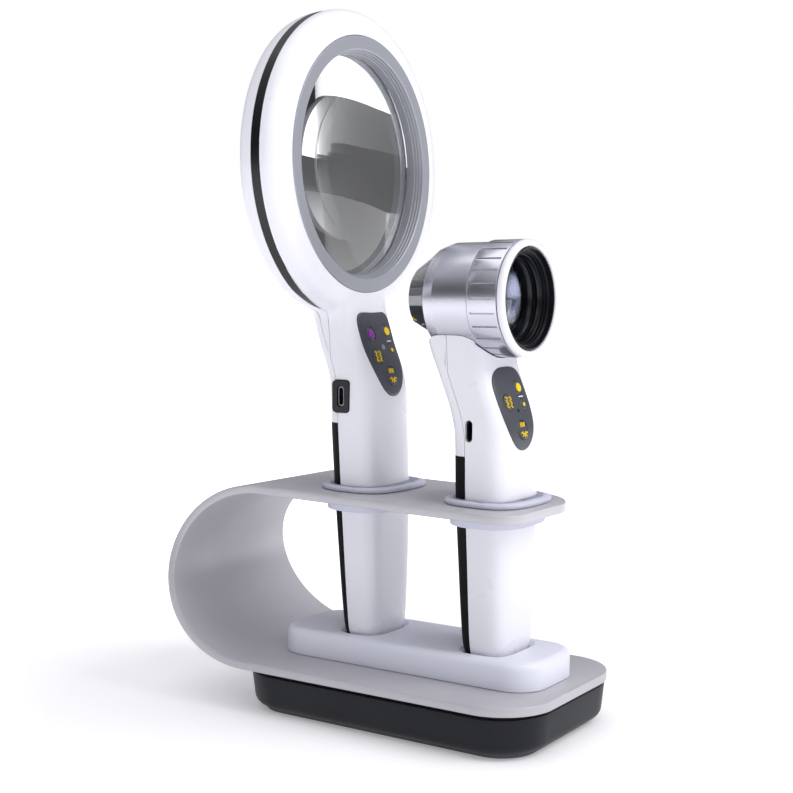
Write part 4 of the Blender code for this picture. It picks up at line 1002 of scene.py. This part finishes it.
dock = {"x0": dockStart, "x1": 143.4, "half": 25.0, "corner": 15.0, "top": 37.2, "low": 24.6, "round": 3.5,
        "gap": 0.4, "wall": 4.0, "well": 0.9, "floor": 30.0, "lip": 1.3, "lipSteps": 5}


def makeDock():
    bm = bmesh.new()
    gap, wall = dock["gap"], dock["wall"]
    roundedSlab(bm, dock["x0"] + gap, dock["x1"] - gap, dock["half"] - gap, dock["corner"], dock["low"],
                dock["top"])
    bm.normal_update()
    roundRim(bm, dock["top"], dock["round"], 7)
    piece = makeObject("dockCover", bm)
    underBm = bmesh.new()
    roundedSlab(underBm, dock["x0"] + wall, dock["x1"] - wall, dock["half"] - wall, dock["corner"] - wall,
                dock["low"] - 4.0, dock["floor"] - 2.0)
    carve(piece, makeObject("under", underBm))
    lip, count = dock["lip"], dock["lipSteps"]
    heights = [(dock["floor"], 0.0), (33.0, 0.0), (35.0, 0.0)]
    for k in range(count + 1):
        drop = lip * cos(pi / 2 * k / count)
        heights.append((dock["top"] - drop, lip - drop))
    heights.append((dock["top"] + 4.0, lip + 3.0))
    for handle, turned in ((magnifierHandle, True), (scopeHandle, False)):
        wellBm = bmesh.new()
        rings = []
        for z, flare in heights:
            middle, halfX, halfY = stationAt(handle, max(handle["foot"], z))
            rings.append(squareRing(wellBm, middle, halfX + dock["well"] + flare, halfY + dock["well"] + flare,
                                    handle["squareness"], z))
        bridgeRings(wellBm, rings)
        carve(piece, makeObject("well", wellBm, turned))
    finishPiece(piece, "stand", dockAbs, ["dock_cover"], 32.0)
    print("dock done")


makeBase()
makePad()
makeSheet()
makeDock()
makeCollar("largeCollar", "collar_large", wells["large"])
makeCollar("smallCollar", "collar_small", wells["small"])
makeHeadRings()
makeMagnifier()
makeScopeBody()
makeBarrel()


# Floor, light and camera

# these are in metres; levels are (how far towards the brightest direction, brightness)
studio = {"floor": 12.0, "glowStart": 0.16, "glowEnd": 0.6, "glowLow": 0.24, "world": 0.62,
          "brightest": (0.22, 0.06, 0.97), "tint": (0.97, 0.975, 1.02), "aim": (0.0, 0.0, 0.15),
          "levels": ((0.0, 0.16), (0.16, 0.2), (0.42, 0.7), (0.72, 1.15))}
lamps = {"key": {"place": (0.95, 0.25, 0.95), "size": 0.7, "power": 6.9},
         "top": {"place": (-0.1, -0.1, 1.3), "size": 0.9, "power": 2.6},
         "fill": {"place": (0.75, -0.9, 1.0), "size": 0.6, "power": 1.2}}


def makeFloor():
    bm = bmesh.new()
    bmesh.ops.create_grid(bm, x_segments=1, y_segments=1, size=studio["floor"])
    mesh = bpy.data.meshes.new("floor")
    bm.to_mesh(mesh)
    bm.free()
    floor = bpy.data.objects.new("floor", mesh)
    bpy.context.collection.objects.link(floor)
    # the paper carries a painted glow, an emission that stands in for light falling on it and grows with distance,
    # so that it meets the white wall without a line
    material, shader = startMaterial("floorWithPaintedGlow", "#F7F7FA", 0.6, Emission_Color=toLinear("#FFFFFF"))
    tree = material.node_tree
    place = addNode(tree, "ShaderNodeTexCoord")
    # painted light: the floor's emission is low near the pieces and full far away
    reach = addNode(tree, "ShaderNodeVectorMath", {0: place.outputs["Object"]}, operation="LENGTH")
    glow = addNode(tree, "ShaderNodeMapRange", {"Value": reach.outputs["Value"], "From Min": studio["glowStart"],
                                                "From Max": studio["glowEnd"], "To Min": studio["glowLow"],
                                                "To Max": 1.0})
    tree.links.new(glow.outputs["Result"], shader.inputs["Emission Strength"])
    mesh.materials.append(material)


def makeWorld():
    world = bpy.data.worlds.new("softStudio")
    bpy.context.scene.world = world
    world.use_nodes = True
    tree = world.node_tree
    tree.nodes.clear()
    place = addNode(tree, "ShaderNodeTexCoord")
    # brighter overhead and from the front of the instruments, darker along the horizon
    lean = addNode(tree, "ShaderNodeVectorMath", {0: place.outputs["Generated"], 1: studio["brightest"]},
                   operation="DOT_PRODUCT")
    ramp = addNode(tree, "ShaderNodeValToRGB", {"Fac": lean.outputs["Value"]})
    stops = ramp.color_ramp.elements
    for number, (spot, level) in enumerate(studio["levels"]):
        stop = stops[number] if number < 2 else stops.new(spot)
        stop.position = spot
        stop.color = [level * part for part in studio["tint"]] + [1]
    gradient = addNode(tree, "ShaderNodeBackground", {"Color": ramp.outputs["Color"],
                                                      "Strength": studio["world"]})
    # seen straight from the camera the wall is plain white; it lights the pieces with the gradient
    white = addNode(tree, "ShaderNodeBackground", {"Color": (1, 1, 1, 1), "Strength": 1.0})
    path = addNode(tree, "ShaderNodeLightPath")
    mix = addNode(tree, "ShaderNodeMixShader", {0: path.outputs["Is Camera Ray"], 1: gradient.outputs[0],
                                                2: white.outputs[0]})
    addNode(tree, "ShaderNodeOutputWorld", {"Surface": mix.outputs[0]})


def makeLight(name, lamp):
    data = bpy.data.lights.new(name, "AREA")
    data.shape = "RECTANGLE"
    data.size = data.size_y = lamp["size"]
    data.energy = lamp["power"]
    light = bpy.data.objects.new(name, data)
    bpy.context.collection.objects.link(light)
    light.location = lamp["place"]
    light.rotation_euler = (Vector(studio["aim"]) - Vector(lamp["place"])).to_track_quat("-Z", "Y").to_euler()


view = {"azimuth": 34.1146, "elevation": 4.1158, "distance": 0.65446, "target": (0.005662, 0.0, 0.150591),
        "lens": 62.01, "sensor": 36.0, "near": 0.01}


def makeCamera():
    data = bpy.data.cameras.new("camera")
    data.lens = view["lens"]
    data.sensor_width = view["sensor"]
    data.clip_start = view["near"]
    a, e = radians(view["azimuth"]), radians(view["elevation"])
    back = Vector((sin(a) * cos(e), -cos(a) * cos(e), sin(e)))
    camera = bpy.data.objects.new("camera", data)
    bpy.context.collection.objects.link(camera)
    camera.location = Vector(view["target"]) + back * view["distance"]
    camera.rotation_euler = back.to_track_quat("Z", "Y").to_euler()
    bpy.context.scene.camera = camera


makeFloor()
makeWorld()
for lampName, lamp in lamps.items():
    makeLight(lampName, lamp)
makeCamera()
bpy.context.scene.view_settings.view_transform = "Standard"

print("scene done")
